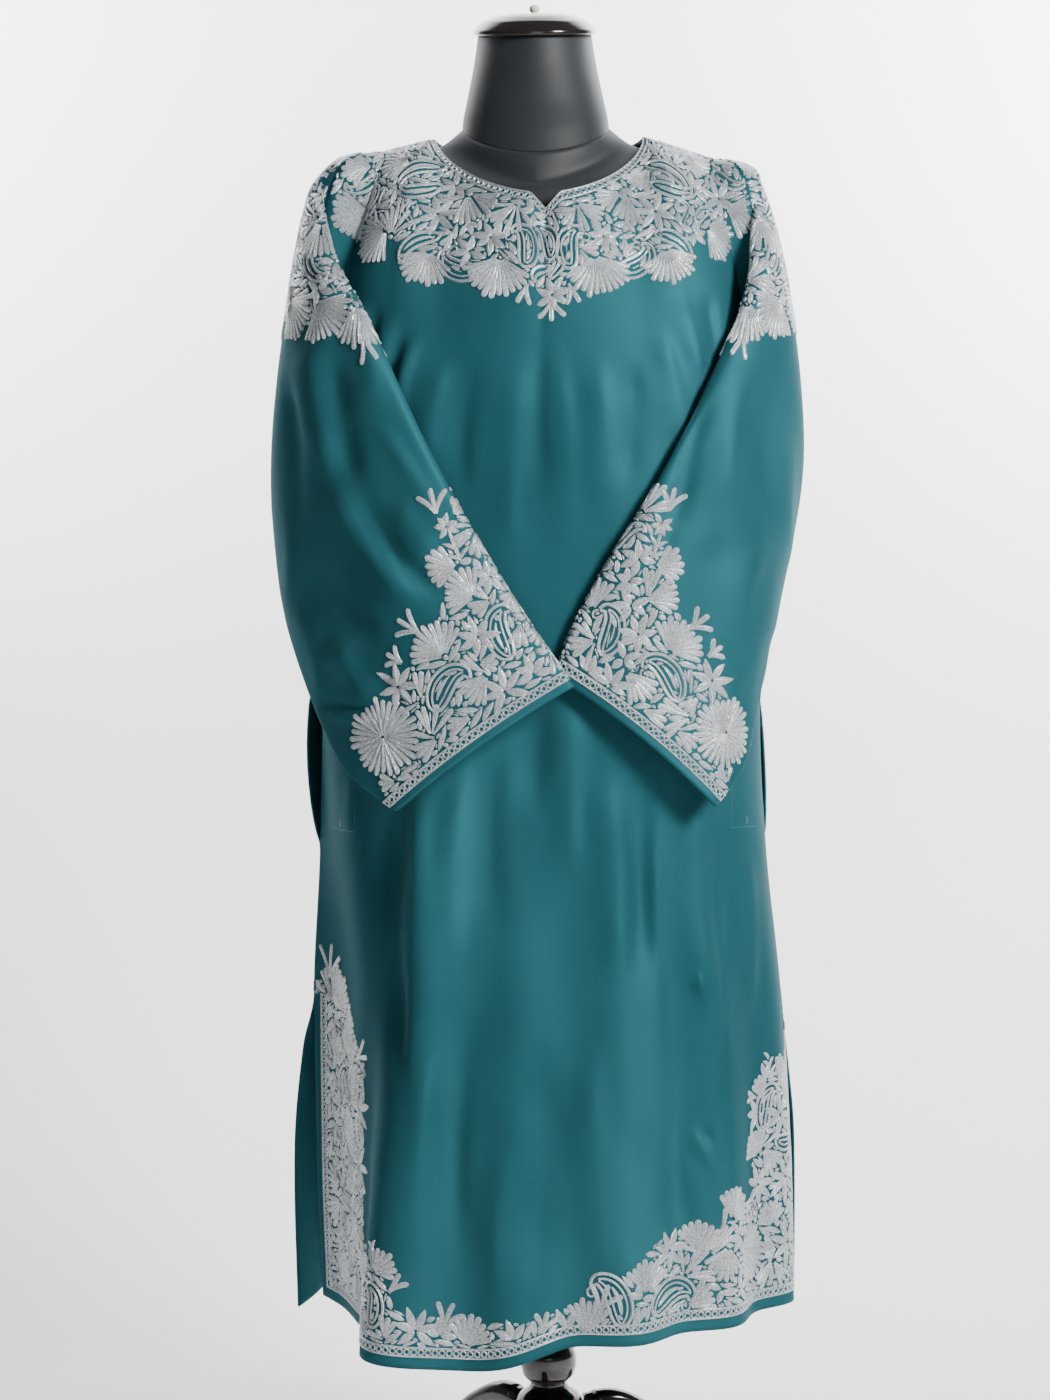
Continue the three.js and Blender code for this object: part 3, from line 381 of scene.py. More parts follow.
def sleeve_rings(side, count, rows):
    """Rings of a sleeve from armhole to cuff, each from its top fold round the outer layer and back."""
    table = SLEEVE[side]
    angle = np.linspace(0, 2 * math.pi, count, endpoint=False)
    along, layer = (1 - np.cos(angle)) / 2, signed_power(np.sin(angle), LAYER_POWER)
    share = np.where(angle <= math.pi, angle / math.pi, 2 - angle / math.pi)
    is_back = (angle <= math.pi)[:, None]
    edge = np.where(is_back, armhole_point(side, 1, share), armhole_point(side, -1, share))
    hole = edge + stack(side * SEAM, 0, SEAM * smooth(1 - 3 * share))
    out, down = read(CAP_RING, "share", share, "out"), read(CAP_RING, "share", share, "down")
    cap = edge + stack(side * out, 0, -down)
    rings, clears = [hole, cap], [np.full(count, -40.0), np.full(count, -12.0)]
    for k in range(8):
        top, under = np.array(table["top"][k], float), np.array(table["under"][k], float)
        chord = under - top
        turn = math.radians(table["turn"][k])
        ways = []
        for way in (np.array([side * math.cos(turn), math.sin(turn), 0]), np.array([side, 1, 1]) * BOW_WAY):
            ways.append(unit(way - chord * way.dot(chord) / chord.dot(chord)))
        half, bow, clear = table["half"][k], table["bow"][k], table["clear"][k]
        place = top + along[:, None] * chord + half * layer[:, None] * ways[0]
        place = place + (bow * 4 * along * (1 - along))[:, None] * ways[1]
        clearance = clear + np.where(layer > 0, LAYER_CLEAR * min(half, LAYER_MOST) * np.abs(layer), 0)
        rings.append(pushed_clear(place, clearance))
        clears.append(clearance)
    head = np.linspace(0, 1, rows // 8, endpoint=False)
    places = np.concatenate([head, np.linspace(1, 9, rows - len(head))])
    grid = curve_through(np.array(rings), places)
    clearance = curve_through(np.array(clears), places)
    return pushed_clear(grid, clearance)


# ---- Creases: x and z of the start and the end, sideways bow, width and depth ----
CREASES = {
    "front": [
        (-132, 800, -136, 500, 4, 13, -7), (-150, 700, -158, 480, -5, 9, 2.5),
        (-108, 800, -118, 600, 5, 16, 5), (-160, 1235, -168, 1150, 3, 7, 3),
        (-132, 1225, -152, 1130, 4, 7, 3.2), (-110, 1205, -134, 1110, 5, 8, 2.6),
        (-84, 1180, -104, 1080, 5, 10, 2.0), (-146, 1232, -160, 1140, 3, 5, -2.4),
        (-120, 1212, -143, 1120, 4, 6, -2.4), (4, 1200, 0, 1050, 2, 9, -1.6),
        (18, 1190, 22, 1010, -3, 12, 1.8), (-20, 1180, -26, 1000, 3, 12, 1.6),
        (-60, 1190, -72, 1040, 4, 12, -1.8), (52, 1190, 60, 1030, -4, 14, 1.8),
        (84, 1180, 78, 1060, -4, 12, -1.8), (132, 1235, 150, 1150, -3, 8, 2.8),
        (156, 1245, 166, 1160, -3, 7, -2.4), (112, 1205, 134, 1090, -4, 10, 2.2),
        (0, 900, -6, 760, 4, 16, -4), (20, 880, 22, 700, -4, 14, 3), (-42, 840, -50, 640, 5, 16, -3),
        (-70, 820, -86, 620, 6, 12, 3), (58, 800, 66, 600, -5, 15, 3), (92, 800, 100, 590, 4, 12, -4.5),
        (104, 780, 112, 430, 6, 9, 2.6), (140, 790, 148, 560, -5, 13, 3.2),
        (166, 760, 168, 590, 3, 10, -3.2), (140, 615, 162, 575, 3, 4.5, 2.4),
        (150, 612, 168, 566, 4, 3.5, -2.2), (134, 470, 160, 420, -4, 5, 2.8),
        (146, 476, 168, 428, 4, 4, -2.4), (120, 500, 128, 360, 4, 12, -3), (44, 560, 52, 340, 5, 16, 3),
        (-8, 560, -14, 330, -5, 18, -4), (-70, 600, -82, 340, 6, 14, -3.5),
        (-104, 560, -120, 330, 6, 11, 3), (84, 480, 88, 330, -4, 11, -2.6),
        (-40, 460, -46, 320, 4, 12, 2.4), (168, 640, 170, 405, 1, 1.6, -1.3),
        (-176, 800, -178, 730, 2, 6, 2), (178, 1080, 186, 960, -4, 9, -2.6),
        (-178, 1080, -188, 960, 4, 9, -2.6), (60, 1010, 100, 920, 6, 10, -2.2),
        (-56, 1000, -92, 910, -6, 10, -2.2), (190, 720, 194, 560, -3, 8, 2.4),
    ],
    "back": [
        (-150, 1230, -164, 1120, 4, 9, 3), (-118, 1240, -136, 1100, 5, 10, -3),
        (-80, 1230, -96, 1060, 5, 12, 2.6), (-36, 1240, -42, 1050, 4, 12, -2.4),
        (8, 1230, 10, 1040, -3, 13, 2.4), (52, 1240, 60, 1060, -4, 12, -2.6),
        (98, 1230, 116, 1090, -5, 11, 2.8), (140, 1235, 160, 1120, -4, 9, -3),
        (-130, 960, -140, 700, 6, 14, 4), (-90, 940, -98, 640, -6, 15, -4.5),
        (-46, 960, -52, 600, 5, 15, 3.5), (0, 930, 6, 560, -6, 16, -4), (44, 950, 50, 620, 5, 15, 4),
        (90, 940, 100, 650, -5, 14, -4), (134, 930, 146, 700, 5, 12, 3.5),
        (-150, 560, -158, 320, 5, 12, 3.5), (-108, 600, -116, 330, -5, 13, -4),
        (-60, 560, -66, 320, 5, 15, 3.4), (-14, 540, -12, 320, -4, 14, -3.6),
        (36, 560, 42, 330, 5, 15, 3.4), (84, 560, 92, 330, -5, 13, -3.8),
        (132, 540, 142, 330, 4, 12, 3.2), (172, 660, 176, 480, 3, 9, -3),
        (-176, 660, -180, 480, -3, 9, -3),
    ],
    "sleeve_left": [
        (-210, 1210, -188, 1068, 3, 13, 8), (-191, 1078, -90, 944, 12, 12, 9),
        (-236, 1180, -228, 1020, -5, 9, -4), (-190, 1180, -168, 1060, 2, 13, -5),
        (-168, 1060, -88, 968, 9, 11, -4.5), (-176, 1240, -150, 1130, -8, 9, 3),
        (-128, 1056, -92, 996, 4, 10, 4), (-212, 1010, -140, 912, 8, 15, -5),
        (-190, 930, -150, 862, 4, 11, 4.5), (-206, 866, -146, 865, 1, 3.4, -2.6),
        (-200, 857, -150, 858, 1, 4.5, 2.6), (-232, 960, -206, 868, -8, 8, 3.4),
        (-240, 1060, -236, 950, -5, 8, 2.6), (-150, 1130, -84, 1012, -4, 8, 2.6),
        (-214, 1290, -196, 1180, -8, 9, 3), (-190, 1300, -176, 1210, -6, 7, -2.6),
        (-150, 900, -118, 868, 3, 7, -2.4),
    ],
    "sleeve_right": [
        (226, 1180, 214, 1020, 10, 13, -4), (196, 1180, 176, 1020, 10, 15, 4.5),
        (214, 1020, 178, 884, 12, 12, 3.5), (176, 1020, 136, 900, 10, 13, -3.5),
        (238, 1120, 238, 980, 5, 9, 3), (160, 1150, 128, 1020, 8, 10, -3),
        (128, 1080, 84, 960, 8, 8, 2.6), (150, 1100, 110, 980, 6, 8, -2.4),
        (232, 930, 206, 846, 8, 8, -3), (196, 900, 160, 824, 7, 9, 2.6),
        (218, 1290, 206, 1180, 6, 9, 2.8), (198, 1280, 184, 1190, 6, 7, -2.6),
    ],
}


def crease_depth(base, rows):
    depth = np.zeros(base.shape[:-1])
    for number, (x0, z0, x1, z1, bow, width, deep) in enumerate(rows):
        run = np.array([x1 - x0, z1 - z0], float)
        length = np.hypot(*run)
        dx, dz = base[..., 0] - x0, base[..., 2] - z0
        t = (dx * run[0] + dz * run[1]) / length**2
        across = (dx * run[1] - dz * run[0]) / length - bow * 4 * t * (1 - t)
        uneven = 1 + 0.22 * np.sin(6 * t + 1.7 * number)
        wide = width * uneven * np.where(across > 0, 1.45, 0.85)
        taper = smooth(t / 0.3 + 0.15) * smooth((1 - t) / 0.35 + 0.1)
        strength = deep * (1 + 0.18 * np.sin(9 * t + 2.3 * number))
        depth = depth + strength * taper * np.exp(-((across / wide) ** 2))
    return depth


def ripple(points, seed):
    """A slight unevenness of the whole sheet."""
    draw = np.random.default_rng(seed)
    total = np.zeros(points.shape[:-1])
    for _ in range(9):
        way = draw.normal(size=3) * np.array([1, 1, 0.45])
        wave = draw.uniform(75, 190)
        phase = draw.uniform(0, 6.28)
        total = total + np.sin(points @ (way / np.linalg.norm(way)) * 2 * math.pi / wave + phase)
    return total / 9


def grid_normals(grid, closed):
    lows = np.gradient(grid, axis=0)
    if closed:
        sides = (np.roll(grid, -1, axis=1) - np.roll(grid, 1, axis=1)) / 2
    else:
        sides = np.gradient(grid, axis=1)
    return unit(np.cross(lows, sides))


class Sheet:
    """A layer of cloth as a grid of points with outward normals, in millimetres about the form's axis."""

    def __init__(self, grid, closed, outward_at):
        self.grid, self.closed = grid, closed
        self.turn = 1.0
        normals = grid_normals(grid, closed)
        row, column, way = outward_at
        if np.dot(normals[row, column], way) < 0:
            self.turn = -1.0
        self.normals = normals * self.turn

    def moved(self, depth):
        self.grid = self.grid + self.normals * depth[..., None]
        self.normals = grid_normals(self.grid, self.closed) * self.turn


# ---- Meshes ----
def make_object(name, points, faces, material, uv=None):
    mesh = bpy.data.meshes.new(name)
    mesh.from_pydata((np.asarray(points) / 1000 + AXIS).tolist(), [], faces)
    if uv is not None:
        layer = mesh.uv_layers.new(name="UVMap")
        corners = np.empty(len(mesh.loops), dtype=np.int32)
        mesh.loops.foreach_get("vertex_index", corners)
        layer.data.foreach_set("uv", np.asarray(uv, dtype=np.float32)[corners].ravel())
    mesh.polygons.foreach_set("use_smooth", [True] * len(mesh.polygons))
    mesh.materials.append(material)
    mesh.update()
    piece = bpy.data.objects.new(name, mesh)
    bpy.context.scene.collection.objects.link(piece)
    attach(piece, "root")
    return piece


def grid_faces(rows, columns, closed, first=0, flipped=False):
    wrap = columns if closed else columns - 1
    r, c = np.meshgrid(np.arange(rows - 1), np.arange(wrap), indexing="ij")
    after = (c + 1) % columns
    here, below = r * columns, (r + 1) * columns
    quads = np.stack([here + c, below + c, below + after, here + after], axis=-1)
    quads = quads.reshape(-1, 4) + first
    return quads[:, ::-1] if flipped else quads


def wall_mesh(name, sheet, inward, material):
    """A closed wall of cloth: the sheet, the same sheet moved in, and strips around the edges."""
    grid = sheet.grid
    rows, columns = grid.shape[:2]
    inner = grid + inward * CLOTH
    n = rows * columns
    flipped = sheet.turn < 0
    layers = ((0, flipped), (n, not flipped))
    faces = [grid_faces(rows, columns, sheet.closed, first, way) for first, way in layers]
    index = np.arange(n).reshape(rows, columns)
    strips = []
    for k, line in enumerate((index[0], index[-1])):
        line = np.append(line, line[0]) if sheet.closed else line
        quads = np.stack([line[:-1], line[1:], line[1:] + n, line[:-1] + n], axis=-1)
        strips.append(quads if (k == 0) != flipped else quads[:, ::-1])
    if not sheet.closed:
        for k, line in enumerate((index[:, 0], index[:, -1])):
            quads = np.stack([line[:-1], line[1:], line[1:] + n, line[:-1] + n], axis=-1)
            strips.append(quads if (k == 1) != flipped else quads[:, ::-1])
    across = np.linalg.norm(np.diff(grid, axis=1), axis=-1).mean()
    down = np.linalg.norm(np.diff(grid, axis=0), axis=-1).mean()
    u, v = np.meshgrid(np.arange(columns) * across, np.arange(rows) * down)
    uv = np.stack([u, v], axis=-1).reshape(-1, 2) / 1000
    return make_object(
        name, np.concatenate([grid.reshape(-1, 3), inner.reshape(-1, 3)]),
        np.concatenate(faces + strips).tolist(), material, np.concatenate([uv, uv]),
    )


# ---- Node helpers ----
class Nodes:
    """Makes and links shader nodes with few words."""

    def __init__(self, tree):
        self.tree = tree

    def add(self, kind, links=None, **settings):
        node = self.tree.nodes.new(kind)
        for key, value in settings.items():
            setattr(node, key, value)
        for socket, value in (links or {}).items():
            target = node.inputs[socket]
            if isinstance(value, bpy.types.NodeSocket):
                self.tree.links.new(value, target)
            else:
                target.default_value = value
        return node

    def maths(self, operation, a, b=0.0):
        return self.add("ShaderNodeMath", {0: a, 1: b}, operation=operation).outputs[0]

    def blend(self, share, a, b):
        return self.add(
            "ShaderNodeMix", {"Factor": share, "A": a, "B": b}, data_type="RGBA"
        ).outputs[2]

    def remap(self, value, low, high, to_low, to_high):
        links = {"Value": value, "From Min": low, "From Max": high, "To Min": to_low, "To Max": to_high}
        return self.add("ShaderNodeMapRange", links).outputs[0]


def new_group(name, inputs, outputs):
    tree = bpy.data.node_groups.new(name, "ShaderNodeTree")
    for label, kind, value in inputs:
        socket = tree.interface.new_socket(name=label, in_out="INPUT", socket_type=kind)
        socket.default_value = value
    for label, kind in outputs:
        tree.interface.new_socket(name=label, in_out="OUTPUT", socket_type=kind)
    nodes = Nodes(tree)
    start = nodes.add("NodeGroupInput")
    end = nodes.add("NodeGroupOutput")
    return nodes, start, end


COLOR, FLOAT, VECTOR = "NodeSocketColor", "NodeSocketFloat", "NodeSocketVector"


def velvet_group():
    nodes, start, end = new_group(
        "VelvetNap",
        [("Deep", COLOR, (0, 0, 0, 1)), ("Bright", COLOR, (0, 0, 0, 1)), ("Patch Scale", FLOAT, 6.0),
         ("Fibre Scale", FLOAT, 900.0), ("Fibre Depth", FLOAT, 0.2)],
        [("Color", COLOR), ("Roughness", FLOAT), ("Normal", VECTOR)],
    )
    place = nodes.add("ShaderNodeTexCoord").outputs["Object"]
    tall = nodes.add("ShaderNodeMapping", {"Vector": place, "Scale": (1.0, 1.0, 0.35)}).outputs[0]
    patch_scale, fibre_scale = start.outputs["Patch Scale"], start.outputs["Fibre Scale"]
    patch = nodes.add("ShaderNodeTexNoise", {"Vector": tall, "Scale": patch_scale, "Detail": 3.0})
    rows = nodes.add("ShaderNodeMapping", {"Vector": place, "Scale": (0.15, 0.15, 1.0)}).outputs[0]
    brushed = nodes.add("ShaderNodeTexNoise", {"Vector": rows, "Scale": 420.0, "Detail": 2.0})
    fibre = nodes.add("ShaderNodeTexNoise", {"Vector": place, "Scale": fibre_scale, "Detail": 2.0})
    wide = nodes.remap(patch.outputs[0], 0.32, 0.7, 0.0, 0.72)
    narrow = nodes.remap(brushed.outputs[0], 0.3, 0.7, 0.0, 0.04)
    fine = nodes.remap(fibre.outputs[0], 0.3, 0.7, 0.0, 0.12)
    share = nodes.maths("ADD", nodes.maths("ADD", wide, narrow), fine)
    color = nodes.blend(share, start.outputs["Deep"], start.outputs["Bright"])
    rough = nodes.remap(patch.outputs[0], 0.3, 0.7, 0.5, 0.6)
    height = nodes.maths("ADD", fibre.outputs[0], nodes.maths("MULTIPLY", brushed.outputs[0], 0.15))
    depth = start.outputs["Fibre Depth"]
    bump = nodes.add("ShaderNodeBump", {"Strength": depth, "Distance": 0.0004, "Height": height})
    for label, value in (("Color", color), ("Roughness", rough), ("Normal", bump.outputs[0])):
        nodes.tree.links.new(value, end.inputs[label])
    return nodes.tree


def stitch_group():
    """Rows of chain stitch from a UV in millimetres, with a painted glint that changes from stitch to stitch
    and painted shade in the stitches' low parts.
    """
    nodes, start, end = new_group(
        "ChainStitch",
        [("Shade", COLOR, (0, 0, 0, 1)), ("Bright", COLOR, (1, 1, 1, 1)), ("Row Width", FLOAT, 1.2),
         ("Stitch Length", FLOAT, 2.2), ("Relief", FLOAT, 0.5)],
        [("Color", COLOR), ("Roughness", FLOAT), ("Normal", VECTOR)],
    )
    uv = nodes.add("ShaderNodeUVMap", uv_map="UVMap").outputs[0]
    parts = nodes.add("ShaderNodeSeparateXYZ", {"Vector": uv})
    row = nodes.maths("DIVIDE", nodes.maths("ADD", parts.outputs[1], 50.6), start.outputs["Row Width"])
    off = nodes.maths("ABSOLUTE", nodes.maths("SUBTRACT", nodes.maths("FRACT", row), 0.5))
    shift = nodes.maths("MULTIPLY", nodes.maths("FLOOR", row), 0.37)
    along = nodes.maths("DIVIDE", parts.outputs[0], start.outputs["Stitch Length"])
    slant = nodes.maths("MULTIPLY", off, 0.8)
    stitch = nodes.maths("FRACT", nodes.maths("ADD", nodes.maths("ADD", along, shift), slant))
    link = nodes.maths("ABSOLUTE", nodes.maths("SUBTRACT", stitch, 0.5))
    row_height = nodes.remap(off, 0.5, 0.22, 0.0, 1.0)
    link_height = nodes.remap(link, 0.5, 0.3, 0.25, 1.0)
    height = nodes.maths("MULTIPLY", row_height, link_height)
    place = nodes.add("ShaderNodeTexCoord").outputs["Object"]
    fine = {"Vector": place, "Scale": 620.0, "Detail": 2.0, "Roughness": 0.7}
    glint = nodes.add("ShaderNodeTexNoise", fine)
    soft = nodes.add("ShaderNodeTexNoise", {"Vector": place, "Scale": 34.0, "Detail": 1.0})
    spark = nodes.remap(glint.outputs[0], 0.36, 0.66, 0.0, 1.0)
    # The colour holds painted light: painted shade where the stitches are low, a painted glint that changes
    # from stitch to stitch, and a random tone over both.
    by_height, by_spark = nodes.remap(height, 0.0, 0.7, 0.3, 1.0), nodes.remap(spark, 0.0, 1.0, 0.5, 1.1)
    light = nodes.maths("MULTIPLY", by_height, by_spark)
    share = nodes.maths("MULTIPLY", light, nodes.remap(soft.outputs[0], 0.3, 0.7, 0.85, 1.05))
    color = nodes.blend(share, start.outputs["Shade"], start.outputs["Bright"])
    rough = nodes.remap(spark, 0.0, 1.0, 0.62, 0.3)
    bump = nodes.add(
        "ShaderNodeBump", {"Strength": start.outputs["Relief"], "Distance": 0.0005, "Height": height})
    for label, value in (("Color", color), ("Roughness", rough), ("Normal", bump.outputs[0])):
        nodes.tree.links.new(value, end.inputs[label])
    return nodes.tree


def new_material(name, settings, group=None, values=None):
    """A Principled material. Outputs of the group go to the shader's sockets of the same meaning."""
    material = bpy.data.materials.new(name)
    material.use_nodes = True
    tree = material.node_tree
    shader = tree.nodes["Principled BSDF"]
    for socket, value in settings.items():
        shader.inputs[socket].default_value = value
    if group is not None:
        effect = tree.nodes.new("ShaderNodeGroup")
        effect.node_tree = group
        for socket, value in values.items():
            effect.inputs[socket].default_value = value
        for label, socket in (("Color", "Base Color"), ("Roughness", "Roughness"), ("Normal", "Normal")):
            tree.links.new(effect.outputs[label], shader.inputs[socket])
    return material


VELVET_GROUP = velvet_group()
SHEEN_TEAL = (0.10, 0.45, 0.52, 1)
velvet = new_material(
    "velvet",
    {"Metallic": 0.3, "Specular IOR Level": 0.04, "Specular Tint": SHEEN_TEAL,
     "Sheen Weight": 0.08, "Sheen Roughness": 0.35, "Sheen Tint": SHEEN_TEAL},
    VELVET_GROUP,
    {"Deep": (0.011, 0.058, 0.070, 1), "Bright": (0.023, 0.108, 0.128, 1), "Patch Scale": 7.0,
     "Fibre Scale": 1100.0, "Fibre Depth": 0.35},
)
form_cover = new_material(
    "form_cover",
    {"Specular IOR Level": 0.3, "Sheen Weight": 0.25, "Sheen Roughness": 0.5,
     "Sheen Tint": (0.7, 0.8, 0.9, 1)},
    VELVET_GROUP,
    {"Deep": (0.007, 0.009, 0.010, 1), "Bright": (0.012, 0.014, 0.016, 1), "Patch Scale": 5.0,
     "Fibre Scale": 1400.0, "Fibre Depth": 0.25},
)
black_lacquer = new_material(
    "black_lacquer",
    {"Base Color": (0.010, 0.008, 0.007, 1), "Roughness": 0.16, "Coat Weight": 0.6, "Coat Roughness": 0.06},
)
pale_wood = new_material("pale_wood", {"Base Color": (0.72, 0.58, 0.44, 1), "Roughness": 0.4})

STITCH_GROUP = stitch_group()
# In both thread materials, Shade is painted shade for the stitches' low parts, and Bright is the thread's
# colour where the painted glint is strongest.
thread = new_material(
    "silver_thread", {"Metallic": 0.8, "Specular IOR Level": 0.6}, STITCH_GROUP,
    {"Shade": (0.06, 0.08, 0.09, 1), "Bright": (0.76, 0.79, 0.82, 1), "Row Width": 1.5,
     "Stitch Length": 2.6, "Relief": 1.0},
)
teal_thread = new_material(
    "teal_thread", {"Specular IOR Level": 0.4}, STITCH_GROUP,
    {"Shade": (0.004, 0.035, 0.042, 1), "Bright": (0.010, 0.085, 0.098, 1), "Row Width": 2.0,
     "Stitch Length": 3.4, "Relief": 0.3},
)

# ---- Cloth ----
FRONT_COLUMNS, BACK_COLUMNS, UPPER_ROWS, LOWER_ROWS = 171, 125, 62, 176
SLEEVE_COLUMNS, SLEEVE_ROWS = 88, 150
ARM_TOP_SHARE = 0.45
# How strongly the panels take up their creases, and how uneven the panels and the sleeves are.
CREASE_SCALE, PANEL_RIPPLE, SLEEVE_RIPPLE = 1.35, 1.5, 1.3


def panel_sheet(name, columns):
    at = np.linspace(-1, 1, columns)
    down = np.concatenate([np.linspace(0, 1, UPPER_ROWS), np.linspace(1, 2, LOWER_ROWS)[1:]])
    grid = panel_points(name, at[None, :], down[:, None])
    sign = -1 if name == "front" else 1
    sheet = Sheet(grid, False, (len(down) // 2, columns // 2, np.array([0, sign, 0])))
    # The seams, the neck edge and the hem keep their places.
    calm = smooth((1 - np.abs(at)) / 0.08)[None, :] * smooth((down - 0.02) / 0.12)[:, None]
    uneven = PANEL_RIPPLE * ripple(grid, 5 if sign < 0 else 6)
    depth = CREASE_SCALE * crease_depth(grid, CREASES[name]) + uneven
    sheet.moved(depth * calm)
    inward = -sheet.normals
    share = np.clip(down, 0, 1)
    for column in (0, -1):
        inward[:, column, 1] = np.where(down >= 1, 0, inward[:, column, 1])
        inward[:, column, 0] = np.where(down < 1, 0, inward[:, column, 0])
        high = down < ARM_TOP_SHARE
        hollow = stack(0 * share, -sign * np.sin(share * math.pi), -np.cos(share * math.pi))
        inward[:, column] = np.where(high[:, None], hollow, inward[:, column])
    inward[0, np.abs(at) >= NECK_SHARE, 1] = 0
    return sheet, unit(inward)


def sleeve_sheet(side):
    grid = sleeve_rings(side, SLEEVE_COLUMNS, SLEEVE_ROWS)
    third, quarter = SLEEVE_ROWS // 3, SLEEVE_COLUMNS // 4
    sheet = Sheet(grid, True, (third, quarter, grid[third, quarter] - grid[third].mean(axis=0)))
    facing = smooth(0.3 - sheet.normals[..., 1])
    row = np.arange(SLEEVE_ROWS)[:, None]
    calm = smooth((row - 10) / 14) * (1 - 0.6 * smooth((row - SLEEVE_ROWS + 16) / 14))
    name = "sleeve_left" if side < 0 else "sleeve_right"
    uneven = SLEEVE_RIPPLE * ripple(grid, 7 + side)
    depth = crease_depth(grid, CREASES[name]) * mix(0.55, 1, facing) + uneven
    sheet.moved(depth * calm)
    inward = -sheet.normals.copy()
    angle = np.linspace(0, 2 * math.pi, SLEEVE_COLUMNS, endpoint=False)
    share = np.where(angle <= math.pi, angle / math.pi, 2 - angle / math.pi)
    sign = np.where(angle <= math.pi, 1, -1)
    inward[0, :, 0] = 0
    hollow = stack(0 * share, -sign * np.sin(share * math.pi), -np.cos(share * math.pi))
    inward[0] = np.where((share < ARM_TOP_SHARE)[:, None], hollow, inward[0])
    return sheet, unit(inward)


front_sheet, front_inward = panel_sheet("front", FRONT_COLUMNS)
back_sheet, back_inward = panel_sheet("back", BACK_COLUMNS)
left_sheet, left_inward = sleeve_sheet(-1)
right_sheet, right_inward = sleeve_sheet(1)
front_cloth = wall_mesh("front_cloth", front_sheet, front_inward, velvet)
back_cloth = wall_mesh("back_cloth", back_sheet, back_inward, velvet)
left_sleeve_cloth = wall_mesh("sleeve_left_cloth", left_sheet, left_inward, velvet)
right_sleeve_cloth = wall_mesh("sleeve_right_cloth", right_sheet, right_inward, velvet)


# ---- Charts: a part of a sheet laid flat, for the embroidery ----
def sample(grid, v, u):
    """Values of a grid between its nodes, at fractional rows v and columns u."""
    rows, columns = grid.shape[:2]
    v, u = np.clip(v, 0, rows - 1), np.clip(u, 0, columns - 1)
    r, c = np.minimum(v.astype(int), rows - 2), np.minimum(u.astype(int), columns - 2)
    a, b = (v - r)[..., None], (u - c)[..., None]
    top = mix(grid[r, c], grid[r, c + 1], b)
    return mix(top, mix(grid[r + 1, c], grid[r + 1, c + 1], b), a)


def inverted(plane, targets, v, u):
    """The places in a grid of plane points where it meets the targets, by Newton's steps from a guess."""
    rows, columns = plane.shape[:2]
    for _ in range(9):
        r, c = np.clip(v.astype(int), 0, rows - 2), np.clip(u.astype(int), 0, columns - 2)
        a, b = (v - r)[..., None], (u - c)[..., None]
        p00, p01, p10, p11 = plane[r, c], plane[r, c + 1], plane[r + 1, c], plane[r + 1, c + 1]
        miss = targets - mix(mix(p00, p01, b), mix(p10, p11, b), a)
        by_v, by_u = mix(p10 - p00, p11 - p01, b), mix(p01 - p00, p11 - p10, a)
        area = by_v[..., 0] * by_u[..., 1] - by_v[..., 1] * by_u[..., 0]
        area = np.where(np.abs(area) < 1e-6, 1e-6, area)
        dv = (miss[..., 0] * by_u[..., 1] - miss[..., 1] * by_u[..., 0]) / area
        du = (by_v[..., 0] * miss[..., 1] - by_v[..., 1] * miss[..., 0]) / area
        v = np.clip(v + np.clip(dv, -6, 6), 0, rows - 1)
        u = np.clip(u + np.clip(du, -6, 6), 0, columns - 1)
    return v, u, np.linalg.norm(targets - sample(plane, v, u), axis=-1)


STEPS = ((1, 0), (0, 1), (1, 1), (1, -1))


def span_slices(shape, dr, dc):
    """The two parts of a grid whose nodes are one step apart."""
    rows, columns = shape
    a = (slice(0, rows - dr), slice(max(-dc, 0), columns - max(dc, 0)))
    b = (slice(dr, rows), slice(max(dc, 0), columns + min(dc, 0)))
    return a, b


def relaxed(flat, lengths, turns):
    """Moves flat nodes until their distances match the lengths, one grid of them for each of STEPS."""
    for _ in range(turns):
        push = np.zeros_like(flat)
        for (dr, dc), length in zip(STEPS, lengths):
            a, b = span_slices(flat.shape[:2], dr, dc)
            run = flat[b] - flat[a]
            size = np.maximum(np.linalg.norm(run, axis=-1), 1e-6)
            fix = run * ((1 - length / size) * 0.5)[..., None]
            push[a] += fix
            push[b] -= fix
        flat = flat + push * 0.22
    return flat


def cloth_lengths(points, edges, rows, columns):
    """Lengths of the cloth between the chosen rows and columns: along rows, columns and both diagonals."""
    down, across = edges[..., 0][np.ix_(rows, columns)], edges[..., 2][np.ix_(rows, columns)]
    by_row, by_column = unit(np.gradient(points, axis=0)), unit(np.gradient(points, axis=1))
    lean = (by_row * by_column).sum(axis=-1)
    total = np.zeros((lean.shape[0] + 1, lean.shape[1] + 1))
    total[1:, 1:] = lean.cumsum(axis=0).cumsum(axis=1)
    r, c = np.meshgrid(rows, columns, indexing="ij")
    r0, r1, c0, c1 = r[:-1, :-1], r[1:, 1:] + 1, c[:-1, :-1], c[1:, 1:] + 1
    angle = (total[r1, c1] - total[r0, c1] - total[r1, c0] + total[r0, c0]) / ((r1 - r0) * (c1 - c0))
    tall, wide = np.diff(down, axis=0), np.diff(across, axis=1)
    a, b = (tall[:, 1:] + tall[:, :-1]) / 2, (wide[1:] + wide[:-1]) / 2
    return [tall, wide, np.sqrt(a**2 + b**2 + 2 * a * b * angle), np.sqrt(a**2 + b**2 - 2 * a * b * angle)]


